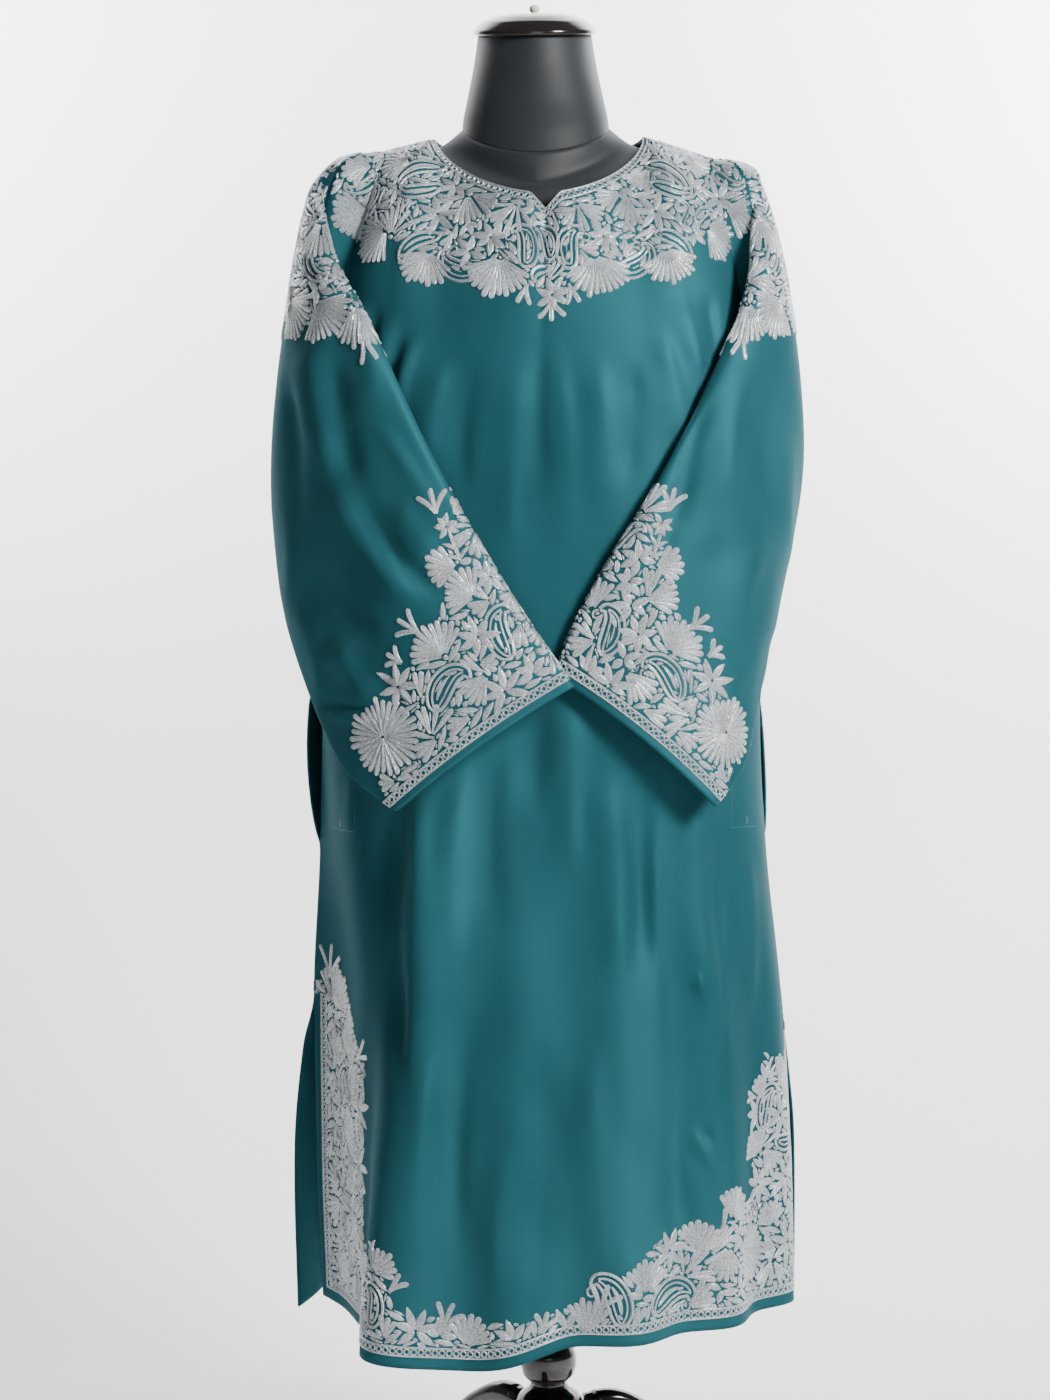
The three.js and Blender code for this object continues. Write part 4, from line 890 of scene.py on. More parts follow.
class Chart:
    """A part of a sheet and its flat twin. Flat X runs across from the middle column, flat Y upwards."""

    def __init__(self, sheet, rows, columns, middle):
        self.points, self.normals = sheet.grid[rows][:, columns], sheet.normals[rows][:, columns]
        height, width = self.points.shape[:2]
        r, c = height // 2, width // 2
        across = self.points[r, c + 1] - self.points[r, c - 1]
        up = self.points[r - 1, c] - self.points[r + 1, c]
        handed = 1 if np.dot(np.cross(across, up), self.normals[r, c]) > 0 else -1
        steps = [np.linalg.norm(np.diff(self.points, axis=k), axis=-1) for k in (0, 1)]
        down = np.concatenate([np.zeros((1, width)), np.cumsum(steps[0], axis=0)], axis=0)
        left = np.concatenate([np.zeros((height, 1)), np.cumsum(steps[1], axis=1)], axis=1)
        self.edges = np.stack([down, down[-1:] - down, left, left[:, -1:] - left], axis=-1)
        # Each round flattens a finer choice of the grid, and starts where the last round left it.
        rough = stack(handed * (left - left[:, middle:middle + 1]), -down[:, middle:middle + 1], 0)[..., :2]
        moved = np.zeros_like(rough)
        for step, turns in ((12, 500), (6, 400), (3, 300)):
            r = np.unique(np.linspace(0, height - 1, max(height // step, 4)).round().astype(int))
            c = np.unique(np.linspace(0, width - 1, max(width // step, 4)).round().astype(int))
            start = (rough + moved)[np.ix_(r, c)]
            flat = relaxed(start, cloth_lengths(self.points, self.edges, r, c), turns)
            v = np.interp(np.arange(height), r, np.arange(len(r)))
            u = np.interp(np.arange(width), c, np.arange(len(c)))
            moved = moved + sample(flat - start, *np.meshgrid(v, u, indexing="ij"))
        flat = rough + moved
        run = flat[0, middle] - flat[-1, middle]
        turn = math.atan2(run[0], run[1])
        spin = np.array([[math.cos(turn), math.sin(turn)], [-math.sin(turn), math.cos(turn)]])
        self.flat = (flat - flat[-1, middle]) @ spin
        self.low = self.flat.min(axis=(0, 1)) - 2
        size = self.flat.max(axis=(0, 1)) + 2 - self.low
        self.cell = 5.0
        across, up = (int(n / self.cell) + 2 for n in size)
        cells = np.stack(np.meshgrid(np.arange(across), np.arange(up)), axis=-1).reshape(-1, 2)
        cells = cells * self.cell + self.low
        nodes = self.flat[::2, ::2]
        spots = nodes.reshape(-1, 2)
        best = []
        for part in np.array_split(cells, 12):
            best.append(((part[:, None] - spots[None]) ** 2).sum(axis=-1).argmin(axis=1))
        row, column = np.divmod(np.concatenate(best), nodes.shape[1])
        self.guess = (row * 2.0).reshape(up, across), (column * 2.0).reshape(up, across)

    def to_grid(self, spots):
        cell = np.round((spots - self.low) / self.cell).astype(int)
        shape = self.guess[0].shape
        i, j = np.clip(cell[..., 1], 0, shape[0] - 1), np.clip(cell[..., 0], 0, shape[1] - 1)
        return inverted(self.flat, spots, self.guess[0][i, j], self.guess[1][i, j])

    def lay(self, spots, lift):
        v, u, miss = self.to_grid(spots)
        return sample(self.points, v, u) + unit(sample(self.normals, v, u)) * lift[..., None], miss

    def find(self, x, z, side=-1):
        """Flat place of a point given by x and z on the layer that faces front (side -1) or back (side 1)."""
        plane = self.points[..., [0, 2]]
        turned_away = np.where(self.normals[..., 1] * side > 0, 0, 1e6)
        miss = ((plane - np.array([x, z])) ** 2).sum(axis=-1) + turned_away
        r, c = np.unravel_index(miss.argmin(), miss.shape)
        v, u, _ = inverted(plane, np.array([[x, z]], float), np.array([float(r)]), np.array([float(c)]))
        return sample(self.flat, v, u)[0]

    def turned(self, x, z, degrees, side=-1):
        """Flat place and flat heading of a direction seen on the front plane: 0 is +X and 90 is up."""
        way = math.radians(degrees)
        a = self.find(x, z, side)
        b = self.find(x + 6 * math.cos(way), z + 6 * math.sin(way), side)
        return a, math.atan2(*(b - a)[::-1])

    def row_path(self, edge, offset, first, last, count=400):
        """Flat points at an offset from the top (edge 0) or the foot (edge 1), between two columns."""
        u = np.linspace(first, last, count)
        rows = np.arange(self.points.shape[0])
        v = []
        for place in u:
            distances = sample(self.edges, rows.astype(float), np.full(len(rows), place))[:, edge]
            way = 1 if edge == 0 else -1
            v.append(np.interp(way * offset, way * distances, rows))
        return sample(self.flat, np.array(v), u)

    def column_path(self, edge, offset, first, last, count=300):
        """Flat points at an offset from the first (edge 2) or the last column (edge 3), between two rows."""
        v = np.linspace(first, last, count)
        columns = np.arange(self.points.shape[1])
        u = []
        for place in v:
            distances = sample(self.edges, np.full(len(columns), place), columns.astype(float))[:, edge]
            way = 1 if edge == 2 else -1
            u.append(np.interp(way * offset, way * distances, columns))
        return sample(self.flat, v, np.array(u))


# ---- Stitched forms, as strokes: a middle line and its widths, in flat millimetres ----
ROUND_END = ((0.0, 1.0), (0.45, 0.89), (0.78, 0.62), (0.95, 0.31), (1.0, 0.06))


def finger(start, end, width, foot=0.5, bend=0.0):
    """A finger with a round tip, narrower at its foot."""
    start, end = np.asarray(start, float), np.asarray(end, float)
    length = max(np.linalg.norm(end - start), 0.1)
    knee = max(1 - width / 2 / length, 0.3)
    t = np.concatenate([np.linspace(0, knee, 6)[:-1], [knee + (1 - knee) * share for share, _ in ROUND_END]])
    line = mix(start, end, t[:, None])
    across = np.array([start[1] - end[1], end[0] - start[0]]) / length
    line = line + across * (bend * 4 * t * (1 - t))[:, None]
    widths = width * mix(foot, 1, smooth(t / 0.7))
    widths[-len(ROUND_END):] = width * np.array([share for _, share in ROUND_END])
    return line, widths


def leaf(start, end, width, bend=0.0):
    """A leaf, pointed at both ends."""
    start, end = np.asarray(start, float), np.asarray(end, float)
    t = np.linspace(0, 1, 9)
    length = max(np.linalg.norm(end - start), 0.1)
    across = np.array([start[1] - end[1], end[0] - start[0]]) / length
    line = mix(start, end, t[:, None]) + across * (bend * 4 * t * (1 - t))[:, None]
    return line, width * np.clip(np.sin(math.pi * t**0.85), 0.06, 1) ** 0.75


def polar(radius, degrees):
    """A point at an angle from straight ahead (+Y), clockwise."""
    angle = math.radians(degrees)
    return np.array([radius * math.sin(angle), radius * math.cos(angle)])


def fan(radius, draw):
    spread, slim, widest = 124, 6.6, 6.8
    strokes = []
    fingers = max(int(math.radians(spread) * radius / slim), 4)
    step = spread / (fingers - 1)
    for i in range(fingers):
        way = -spread / 2 + i * step
        reach = radius * (0.86 + 0.14 * math.cos(math.radians(way * 1.3))) * draw.uniform(0.9, 1.04)
        width = min(0.84 * math.radians(step) * reach, widest)
        strokes.append(finger(polar(0.1 * radius, way), polar(reach, way), width, 0.34, way * 0.012))
    return strokes


def bloom(radius, draw):
    """A full round flower: long petals all round, and a tier of short ones on top of them."""
    strokes = []
    for tip, foot, width, lift in ((1.0, 0.12, 5.9, 0.0), (0.52, 0.04, 4.6, 0.7)):
        count = int(2 * math.pi * radius * tip / 7.4)
        for i in range(count):
            way = 360 * (i + 0.5 * (lift > 0)) / count
            reach = radius * tip * draw.uniform(0.86, 1.06)
            line, widths = finger(polar(radius * foot, way), polar(reach, way), width, 0.3)
            strokes.append((line, widths, lift))
    return strokes


def star(radius, draw):
    petals, widest = 7, 8.5
    strokes = []
    for i in range(petals):
        way = 360 * (i + draw.uniform(-0.12, 0.12)) / petals
        reach = radius * draw.uniform(0.82, 1.05)
        width = min(0.62 * 2 * math.pi * radius / petals * 0.9, widest)
        strokes.append(leaf(polar(0.06 * radius, way), polar(reach, way), width, draw.uniform(-1, 1)))
    strokes.append(finger((0, -2.2), (0, 2.2), 4.4, 1.0))
    return strokes


def boteh(size, draw, fat=0.36, rows=(0.0, 5.0), core=9.0, curl=True):
    """A paisley: outlines one inside the other, a filled core and a curled tip."""
    spine = curve_through(
        np.array([(0, 0), (-0.05, 0.28), (-0.03, 0.55), (0.08, 0.78), (0.27, 0.88), (0.42, 0.78)]) * size,
        np.linspace(0, 5, 27))
    t = np.linspace(0, 1, 27)
    way = unit(np.gradient(spine, axis=0))
    across = np.stack([-way[:, 1], way[:, 0]], axis=-1)
    half = fat * size * 1.62 * np.sqrt(t) * (1 - t) ** 1.05
    strokes = []
    for inset in rows:
        keep = half > inset
        keep[0] = inset == 0
        if keep.sum() < 4:
            continue
        deep = (half - inset)[keep, None] * across[keep]
        line = np.concatenate([(spine[keep] + deep)[::-1], spine[keep] - deep])
        strokes.append((line, np.full(len(line), 3.3 if inset == 0 else 2.3)))
    keep = half > core + 0.4
    if keep.sum() > 3:
        strokes.append((spine[keep], np.maximum(2 * (half[keep] - core), 0.5)))
    if curl:
        angle = np.linspace(0, 1.5 * math.pi, 14)
        radius = np.linspace(0.11, 0.035, 14) * size
        centre = spine[-1] + np.array([-0.02, -0.11]) * size
        line = centre + radius[:, None] * np.stack([np.sin(angle), np.cos(angle)], axis=-1)
        strokes.append((line, np.linspace(2.8, 1.8, 14)))
    return strokes


def boat(size, draw):
    return boteh(size, draw, fat=0.22, rows=(0.0,), core=4.2, curl=False)


def fork(size, draw):
    return [finger((0, 0), polar(size, way), 5.6, 0.6, way * 0.05) for way in (-38, 0, 38)]


def sprig(size, draw):
    strokes = [leaf((0, 0), (0, size), 5.0)]
    for k, way in enumerate((-58, 56, -46, 44, -34, 34)):
        foot = np.array([0, size * (0.12 + 0.26 * (k // 2))])
        tip = foot + polar(size * (0.46 - 0.07 * (k // 2)), way)
        strokes.append(leaf(foot, tip, 4.6, 1.5 if way > 0 else -1.5))
    return strokes


def vine(size, draw):
    t = np.linspace(0, 1, 16)
    line = np.stack([0.22 * size * np.sin(t * 5.2), t * size], axis=-1)
    return [(line, mix(3.2, 2.0, t)), (line + np.array([4.2, 1.0]), mix(2.4, 1.6, t))]


MOTIFS = {
    "bloom": bloom, "fan": fan, "star": star, "boteh": boteh, "boat": boat, "fork": fork, "sprig": sprig,
    "vine": vine,
}


def lengths_along(line):
    """The distance of each point of a line from its start, along the line."""
    return np.concatenate([[0], np.cumsum(np.linalg.norm(np.diff(line, axis=0), axis=-1))])


def eroded(mask):
    """The mask without its rim."""
    inner = mask.copy()
    inner[1:] &= mask[:-1]
    inner[:-1] &= mask[1:]
    inner[:, 1:] &= mask[:, :-1]
    inner[:, :-1] &= mask[:, 1:]
    return inner


def depth_inside(mask, most):
    """How many steps each cell lies inside the mask's rim, up to a most."""
    depth = np.zeros(mask.shape)
    core = mask
    for _ in range(most):
        depth += core
        core = eroded(core)
    return depth


# Columns of a chart's map: distances from the top, the foot and both side edges, then places in space.
FROM_TOP, FROM_FOOT, FROM_LEFT, FROM_RIGHT, AT_X, AT_Z = 0, 1, 2, 3, 4, 6


class Needlework:
    """Strokes on one chart, kept off each other by a map of taken places, then stitched as one mesh."""

    def __init__(self, chart, seed):
        self.chart, self.draw = chart, np.random.default_rng(seed)
        self.strokes = []
        self.low = np.floor(chart.flat.min(axis=(0, 1))) - 2
        high = np.ceil(chart.flat.max(axis=(0, 1))) + 2
        across, up = (high - self.low).astype(int)
        self.taken = np.zeros((up, across), bool)
        self.kept = np.zeros((up, across), bool)
        spots = np.stack(np.meshgrid(np.arange(across), np.arange(up)), axis=-1) + self.low + 0.5
        v, u, miss = chart.to_grid(spots.reshape(-1, 2))
        self.inside = (miss < 0.6).reshape(up, across)
        known = sample(np.concatenate([chart.edges, chart.points, chart.normals], axis=-1), v, u)
        self.known = known.reshape(up, across, -1)

    def stamp(self, line, widths, gap=0.3):
        lengths = lengths_along(line)
        places = np.arange(0, lengths[-1] + 0.7, 0.7)
        xs, ys = np.interp(places, lengths, line[:, 0]), np.interp(places, lengths, line[:, 1])
        radii = np.interp(places, lengths, widths) / 2 + gap
        reach = int(radii.max()) + 2
        span = np.arange(-reach, reach + 1)
        dx, dy = np.meshgrid(span, span)
        columns = np.floor(xs - self.low[0]).astype(int)[:, None, None] + dx
        rows = np.floor(ys - self.low[1]).astype(int)[:, None, None] + dy
        east = columns + 0.5 + self.low[0] - xs[:, None, None]
        north = rows + 0.5 + self.low[1] - ys[:, None, None]
        far = np.hypot(east, north)
        keep = (far <= radii[:, None, None]) & (columns >= 0) & (rows >= 0)
        keep &= (columns < self.taken.shape[1]) & (rows < self.taken.shape[0])
        return rows[keep], columns[keep]

    def add(self, line, widths, lift=0.0, gap=0.6):
        self.strokes.append((np.asarray(line, float), np.asarray(widths, float), lift))
        self.taken[self.stamp(line, widths, gap)] = True

    def motif(self, kind, spot, heading, size, mirrored=False):
        turn = heading - math.pi / 2
        spin = np.array([[math.cos(turn), math.sin(turn)], [-math.sin(turn), math.cos(turn)]])
        for line, widths, *above in MOTIFS[kind](size, self.draw):
            local = line * np.array([-1, 1]) if mirrored else line
            place = local @ spin + spot
            raised = above[0] if above else 0.0
            # A stroke that would cover finished work is left out, unless it is meant to lie on top.
            rows, columns = self.stamp(place, widths, -0.4)
            if not raised and len(rows) and self.taken[rows, columns].mean() > 0.5:
                continue
            # The borders and the hems stay free of motifs.
            if len(rows) and self.kept[rows, columns].mean() > 0.1:
                continue
            self.add(place, widths, raised)

    def scatter(self, region, kinds, smallest=14, largest=30, passes=2):
        """Smaller flowers and fans in the larger free places of the region."""
        region = region & self.inside
        for _ in range(passes):
            depth = depth_inside(region & ~self.taken, 14)
            rows, columns = np.nonzero(depth >= smallest * 0.42)
            order = np.argsort(-(depth[rows, columns] + self.draw.uniform(0, 1, len(rows))))
            used = np.zeros((0, 2))
            for k in order[:4000]:
                spot = np.array([columns[k], rows[k]]) + 0.5 + self.low
                size = min(depth[rows[k], columns[k]] * 1.9, largest)
                if size < smallest or (len(used) and (np.hypot(*(used - spot).T) < size * 1.3).any()):
                    continue
                used = np.concatenate([used, spot[None]])
                kind = kinds[self.draw.integers(len(kinds))]
                heading = self.draw.uniform(0, 2 * math.pi)
                if kind in ("fan", "sprig", "boteh", "boat"):
                    foot = spot - 0.45 * size * np.array([math.cos(heading), math.sin(heading)])
                    self.motif(kind, foot, heading, size * 1.25, bool(self.draw.integers(2)))
                else:
                    self.motif(kind, spot, heading, size)

    def rings(self, path, radius=3.1, width=1.7, spacing=6.6):
        """Small rings side by side between two chain lines."""
        lengths = lengths_along(path)
        count = max(int(lengths[-1] / spacing), 1)
        places = (np.arange(count) + 0.5) * lengths[-1] / count
        angle = np.linspace(0, 2 * math.pi, 11)
        for x, y in zip(np.interp(places, lengths, path[:, 0]), np.interp(places, lengths, path[:, 1])):
            line = np.array([x, y]) + radius * 0.82 * np.stack([np.cos(angle), np.sin(angle)], axis=-1)
            self.add(line, np.full(11, width))

    def chain(self, path, width=2.0, gap=0.4):
        lengths = lengths_along(path)
        places = np.linspace(0, lengths[-1], max(int(lengths[-1] / 4), 3))
        line = np.stack([np.interp(places, lengths, path[:, k]) for k in (0, 1)], axis=-1)
        self.add(line, np.full(len(line), width), gap=gap)

    def fill(self, region, longest=24.0, widest=6.4, passes=6):
        """Leaves where there is still room in the region, each along the free way that is longest."""
        region = region & self.inside
        ways = np.radians(np.arange(0, 180, 15))
        steps = np.arange(1, int(longest * 0.62))
        for _ in range(passes):
            free = region & ~self.taken
            depth = depth_inside(free, 5)
            rows, columns = np.nonzero(depth >= 2)
            if not len(rows):
                break
            order = np.argsort(-(depth[rows, columns] + self.draw.uniform(0, 0.9, len(rows))))
            placed = 0
            for k in order:
                r, c = rows[k], columns[k]
                if self.taken[r, c]:
                    continue
                spot = np.array([c, r]) + 0.5 + self.low
                best, found = 0, None
                for way in ways:
                    run = np.array([math.cos(way), math.sin(way)])
                    reach = []
                    for sign in (1, -1):
                        cells = np.floor(spot + sign * steps[:, None] * run - self.low).astype(int)
                        cells = np.clip(cells, 0, np.array(free.shape)[::-1] - 1)
                        open_cells = region[cells[:, 1], cells[:, 0]] & ~self.taken[cells[:, 1], cells[:, 0]]
                        reach.append(len(steps) if open_cells.all() else int(np.argmin(open_cells)))
                    if sum(reach) > best:
                        best, found = sum(reach), (spot + run * reach[0], spot - run * reach[1])
                if best < 4:
                    self.taken[r, c] = True
                    continue
                width = min(max(2 * depth[r, c] - 0.5, 2.0), widest)
                line, widths = leaf(found[1], found[0], width, self.draw.uniform(-0.8, 0.8))
                rows_hit, columns_hit = self.stamp(line, widths, -0.3)
                if len(rows_hit) and self.taken[rows_hit, columns_hit].mean() > 0.3:
                    width *= 0.55
                    line, widths = leaf(found[1], found[0], width)
                self.add(line, widths, 0.0)
                placed += 1
            if not placed:
                break

    def stitched(self, name, material, height=1.25):
        """All strokes as one low relief that follows the cloth."""
        share = np.array([-1.0, -0.62, 0.0, 0.62, 1.0])
        rise = np.array([-0.25, 0.72, 1.0, 0.72, -0.25]) * height
        spots, lifts, uvs, faces, first = [], [], [], [], 0
        for number, (line, widths, lift) in enumerate(self.strokes):
            lengths = lengths_along(line)
            way = unit(np.gradient(line, axis=0))
            across = np.stack([-way[:, 1], way[:, 0]], axis=-1)
            spot = line[:, None] + across[:, None] * (share[None, :, None] * widths[:, None, None] / 2)
            n = len(line)
            tall = np.minimum(widths / 2.4, 1.0)[:, None]
            spots.append(spot.reshape(-1, 2))
            lifts.append((rise * np.maximum(tall, 0.35) + lift).ravel())
            along, aside = lengths[:, None] + 3.7 * number, share * widths[:, None] / 2
            uv = np.stack(np.broadcast_arrays(along, aside), axis=-1)
            uvs.append(uv.reshape(-1, 2))
            faces.append(grid_faces(n, 5, False, first))
            first += 5 * n
        spots, lifts, uvs = np.concatenate(spots), np.concatenate(lifts), np.concatenate(uvs)
        points, miss = self.chart.lay(spots, lifts)
        faces = np.concatenate(faces)
        faces = faces[(miss[faces] < 0.8).all(axis=1)]
        used = np.unique(faces)
        order = np.full(len(points), -1)
        order[used] = np.arange(len(used))
        corners = points[faces]
        normal = np.cross(corners[:, 1] - corners[:, 0], corners[:, 3] - corners[:, 0])
        v, u, _ = self.chart.to_grid(spots[faces].mean(axis=1))
        wrong = (normal * sample(self.chart.normals, v, u)).sum(axis=-1) < 0
        faces[wrong] = faces[wrong][:, ::-1]
        return make_object(name, points[used], order[faces].tolist(), material, uvs[used])


# ---- Embroidery: where the motifs are ----
# Rows: kind, x and z on the front plane, heading there in degrees (90 is up), size, mirrored.
YOKE_MIRROR = 9.0
YOKE_MOTIFS = [
    ("boteh", 12, 1272, 96, 41, 1), ("star", 13, 1240, 20, 20, 0), ("fork", 12, 1236, 270, 22, 0),
    ("fan", -34, 1276, 256, 42, 0), ("fan", -100, 1283, 250, 37, 0), ("fan", -140, 1304, 220, 38, 0),
    ("boteh", -54, 1262, 168, 44, 0), ("star", -43, 1294, 10, 19, 0), ("star", -92, 1318, 0, 25, 0),
    ("fan", -64, 1335, 232, 36, 0), ("fan", -60, 1336, 300, 32, 0), ("fan", -18, 1326, 236, 34, 0),
    ("boat", -88, 1346, 190, 52, 0), ("boat", -84, 1364, 188, 60, 1), ("boat", -90, 1297, 196, 46, 1),
    ("fan", -160, 1324, 214, 36, 0), ("star", -130, 1344, 0, 20, 0), ("fan", -118, 1372, 200, 34, 0),
    ("boat", -150, 1360, 220, 36, 0), ("star", -64, 1308, 30, 14, 0), ("fork", -10, 1250, 240, 20, 0),
    ("sprig", -10, 1306, 200, 26, 0), ("vine", -112, 1330, 250, 30, 0), ("sprig", -60, 1386, 230, 26, 0),
]
# The pair of paisleys beside the neck's notch, given apart because they lean to the middle line.
YOKE_PAIR = [("boteh", -12, 1266, 82, 44, 1), ("boteh", 31, 1264, 98, 44, 0)]
BACK_YOKE_MOTIFS = [
    ("star", 0, 1340, 90, 22, 0), ("fan", 0, 1318, 270, 38, 0), ("boteh", -30, 1322, 100, 42, 0),
    ("fan", -56, 1316, 262, 38, 0), ("star", -64, 1346, 20, 20, 0), ("fan", -104, 1326, 244, 36, 0),
    ("boat", -70, 1370, 200, 48, 0), ("star", -112, 1358, 10, 18, 0), ("fan", -140, 1346, 226, 34, 0),
    ("boat", -120, 1376, 206, 44, 1), ("fork", -30, 1306, 255, 20, 0), ("fork", -82, 1302, 252, 20, 0),
]
SKIRT_MOTIFS = [
    # left slit
    ("fork", -208, 592, 84, 34, 0), ("fan", -204, 564, 74, 44, 0), ("fan", -196, 536, 52, 46, 0),
    ("fork", -190, 560, 40, 30, 0), ("fan", -200, 506, 96, 38, 0), ("boteh", -186, 478, 84, 60, 0),
    ("fan", -192, 438, 62, 40, 0), ("star", -204, 452, 10, 24, 0), ("star", -196, 418, 30, 24, 0),
    ("fan", -200, 392, 130, 26, 0), ("boat", -186, 372, 80, 40, 0), ("star", -202, 408, 0, 16, 0),
    ("fan", -186, 352, 70, 28, 0), ("star", -200, 340, 30, 18, 0), ("fork", -178, 528, 26, 28, 0),
    ("fan", -184, 516, 30, 34, 0),
    ("fan", -160, 350, 60, 26, 0), ("boteh", -164, 300, 80, 40, 1),
    # left corner and hem
    ("sprig", -160, 346, 96, 36, 0), ("fork", -146, 334, 60, 20, 0), ("star", -158, 318, 20, 18, 0),
    ("fan", -150, 290, 120, 24, 0), ("star", -122, 298, 10, 23, 0), ("star", -100, 292, 40, 19, 0),
    ("fork", -98, 300, 62, 24, 0), ("fan", -76, 282, 80, 30, 0), ("boat", -58, 284, 20, 40, 0),
    ("star", -34, 290, 0, 20, 0), ("fan", -12, 278, 96, 28, 0), ("fork", -6, 294, 76, 20, 0),
    ("star", 16, 296, 20, 20, 0), ("fan", 34, 290, 84, 34, 0), ("fork", 46, 312, 70, 26, 0),
    ("boteh", 66, 298, 100, 52, 1), ("boteh", 96, 306, 40, 54, 0), ("star", 112, 360, 10, 22, 0),
    ("fan", 74, 292, 40, 28, 0), ("fan", 138, 356, 70, 30, 0), ("fan", 150, 350, 96, 38, 0),
    ("fan", 130, 304, 60, 30, 0), ("bloom", 190, 342, 15, 30, 0), ("fan", 168, 312, 250, 30, 0),
    ("fan", 172, 382, 64, 32, 0), ("fork", 160, 372, 40, 24, 0), ("boat", 150, 320, 200, 40, 1),
    # right slit
    ("star", 200, 402, 10, 24, 0), ("fan", 200, 430, 110, 28, 0), ("boteh", 206, 452, 86, 46, 0),
    ("star", 200, 470, 30, 20, 0), ("fan", 206, 482, 80, 26, 0), ("star", 208, 504, 0, 15, 0),
    ("sprig", 214, 500, 98, 30, 0), ("fork", 198, 486, 140, 16, 0), ("fan", 214, 360, 100, 26, 0),
]
# The back hem repeats these three: kind, z, heading and size. Every second paisley is mirrored.
BACK_HEM_REPEAT = [("star", 326, 10, 24), ("fan", 306, 90, 36), ("boteh", 306, 80, 46)]
BACK_SKIRT_MOTIFS = []
for k, x in enumerate(np.linspace(-188, 188, 15).round()):
    kind, z, way, size = BACK_HEM_REPEAT[k % 3]
    BACK_SKIRT_MOTIFS.append((kind, x, z, way, size, k % 2 if kind == "boteh" else 0))
HEM_BAND = {
    "x": [-215, -175, -160, -137, -60, 0, 40, 74, 112, 150, 173, 205],
    "high": [90, 84, 92, 52, 44, 36, 44, 70, 94, 92, 104, 120],
}
# The slit bands' inner edges, as x on the front plane, and the plain width of the back panel's bands.
LEFT_SLIT = {
    "z": [270, 360, 453, 500, 530, 552, 572, 586, 594],
    "x": [-165, -169, -169, -160, -172, -184, -198, -208, -300],
}
RIGHT_SLIT = {"z": [270, 396, 430, 460, 482, 498, 510, 516], "x": [160, 178, 192, 193, 199, 208, 218, 300]}
BACK_SLIT = {"z": [270, 420, 520, 570, 590], "wide": [60, 54, 44, 26, 0]}
CUFF_MOTIFS = [
    ("fork", -95, 1042, 104, 24, 0), ("star", -86, 1030, 30, 13, 0), ("sprig", -72, 996, 112, 36, 0),
    ("fan", -76, 992, 160, 30, 0), ("fan", -60, 966, 150, 32, 0), ("star", -46, 984, 0, 18, 0),
    ("fork", -112, 934, 150, 24, 0), ("fan", -88, 912, 128, 36, 0), ("star", -58, 930, 10, 21, 0),
    ("boteh", -28, 910, 116, 50, 0), ("boteh", -98, 862, 70, 50, 0), ("fan", -50, 896, 200, 34, 0),
    ("star", -132, 884, 0, 24, 0), ("bloom", -146, 838, 20, 36, 0), ("fan", -110, 872, 150, 30, 0),
    ("fan", -64, 858, 250, 28, 0), ("star", -34, 880, 0, 24, 0), ("boat", -120, 838, 160, 44, 0),
    ("fan", -96, 838, 230, 26, 0), ("star", -8, 896, 10, 20, 0), ("fork", -128, 906, 150, 18, 0),
    ("fan", -18, 880, 300, 24, 0), ("star", -76, 880, 15, 16, 0),
]
RIGHT_CUFF_MOTIFS = [
    ("fork", 118, 1042, 78, 22, 0), ("star", 110, 1030, 30, 12, 0), ("sprig", 100, 996, 70, 34, 0),
    ("fan", 104, 990, 24, 28, 0), ("fan", 96, 962, 30, 32, 0), ("star", 80, 978, 0, 16, 0),
    ("fork", 136, 934, 34, 22, 0), ("fan", 116, 912, 50, 36, 0), ("star", 88, 930, 10, 20, 0),
    ("boteh", 54, 912, 66, 46, 1), ("boteh", 124, 868, 110, 50, 1), ("fan", 76, 896, 340, 34, 0),
    ("star", 156, 886, 0, 24, 0), ("bloom", 168, 838, 20, 34, 0), ("fan", 136, 872, 30, 30, 0),
    ("fan", 90, 862, 290, 28, 0), ("star", 62, 884, 0, 24, 0), ("boat", 146, 838, 20, 44, 1),
    ("fan", 122, 842, 310, 26, 0), ("star", 42, 896, 10, 18, 0), ("fork", 152, 908, 34, 18, 0),
    ("star", 104, 884, 15, 16, 0),
]
# Height of the cuffs' embroidery above the cuff's edge, against flat distance from the top fold.
CUFF_BAND = {"across": [0, 25, 54, 81, 106, 153, 188, 203], "high": [200, 172, 134, 112, 100, 80, 56, 16]}
CAP_BAND = {"across": [0, 40, 80, 120, 160, 215], "z": [1204, 1212, 1219, 1223, 1223, 1218]}
CAP_MOTIFS = [
    ("star", 0, 1340, 0, 20), ("fan", 0, 1312, 270, 44), ("fan", 0, 1232, 270, 42),
    ("boteh", 30, 1330, 250, 46), ("fan", 34, 1236, 262, 40), ("fan", 68, 1240, 264, 40),
    ("fan", 102, 1240, 266, 38), ("fan", 134, 1238, 268, 36), ("fan", 160, 1226, 270, 30),
    ("fork", 186, 1212, 270, 24), ("boat", 64, 1316, 262, 50), ("star", 50, 1286, 10, 22),
    ("fan", 84, 1290, 262, 40), ("boteh", 112, 1300, 256, 44), ("fan", 134, 1272, 266, 32),
    ("star", 150, 1262, 0, 18), ("boat", 20, 1290, 280, 44), ("fork", 10, 1204, 262, 26),
    ("fork", 44, 1214, 266, 22),
]
# The lower edges of the yoke's embroidery, against distance from its middle line.
YOKE_EDGE_FRONT = {
    "x": [0, 30, 62, 100, 140, 165, 190, 215],
    "z": [1238, 1256, 1260, 1270, 1292, 1310, 1330, 1350],
}
YOKE_EDGE_BACK = {"x": [0, 40, 80, 120, 150, 175], "z": [1292, 1290, 1296, 1312, 1330, 1350]}
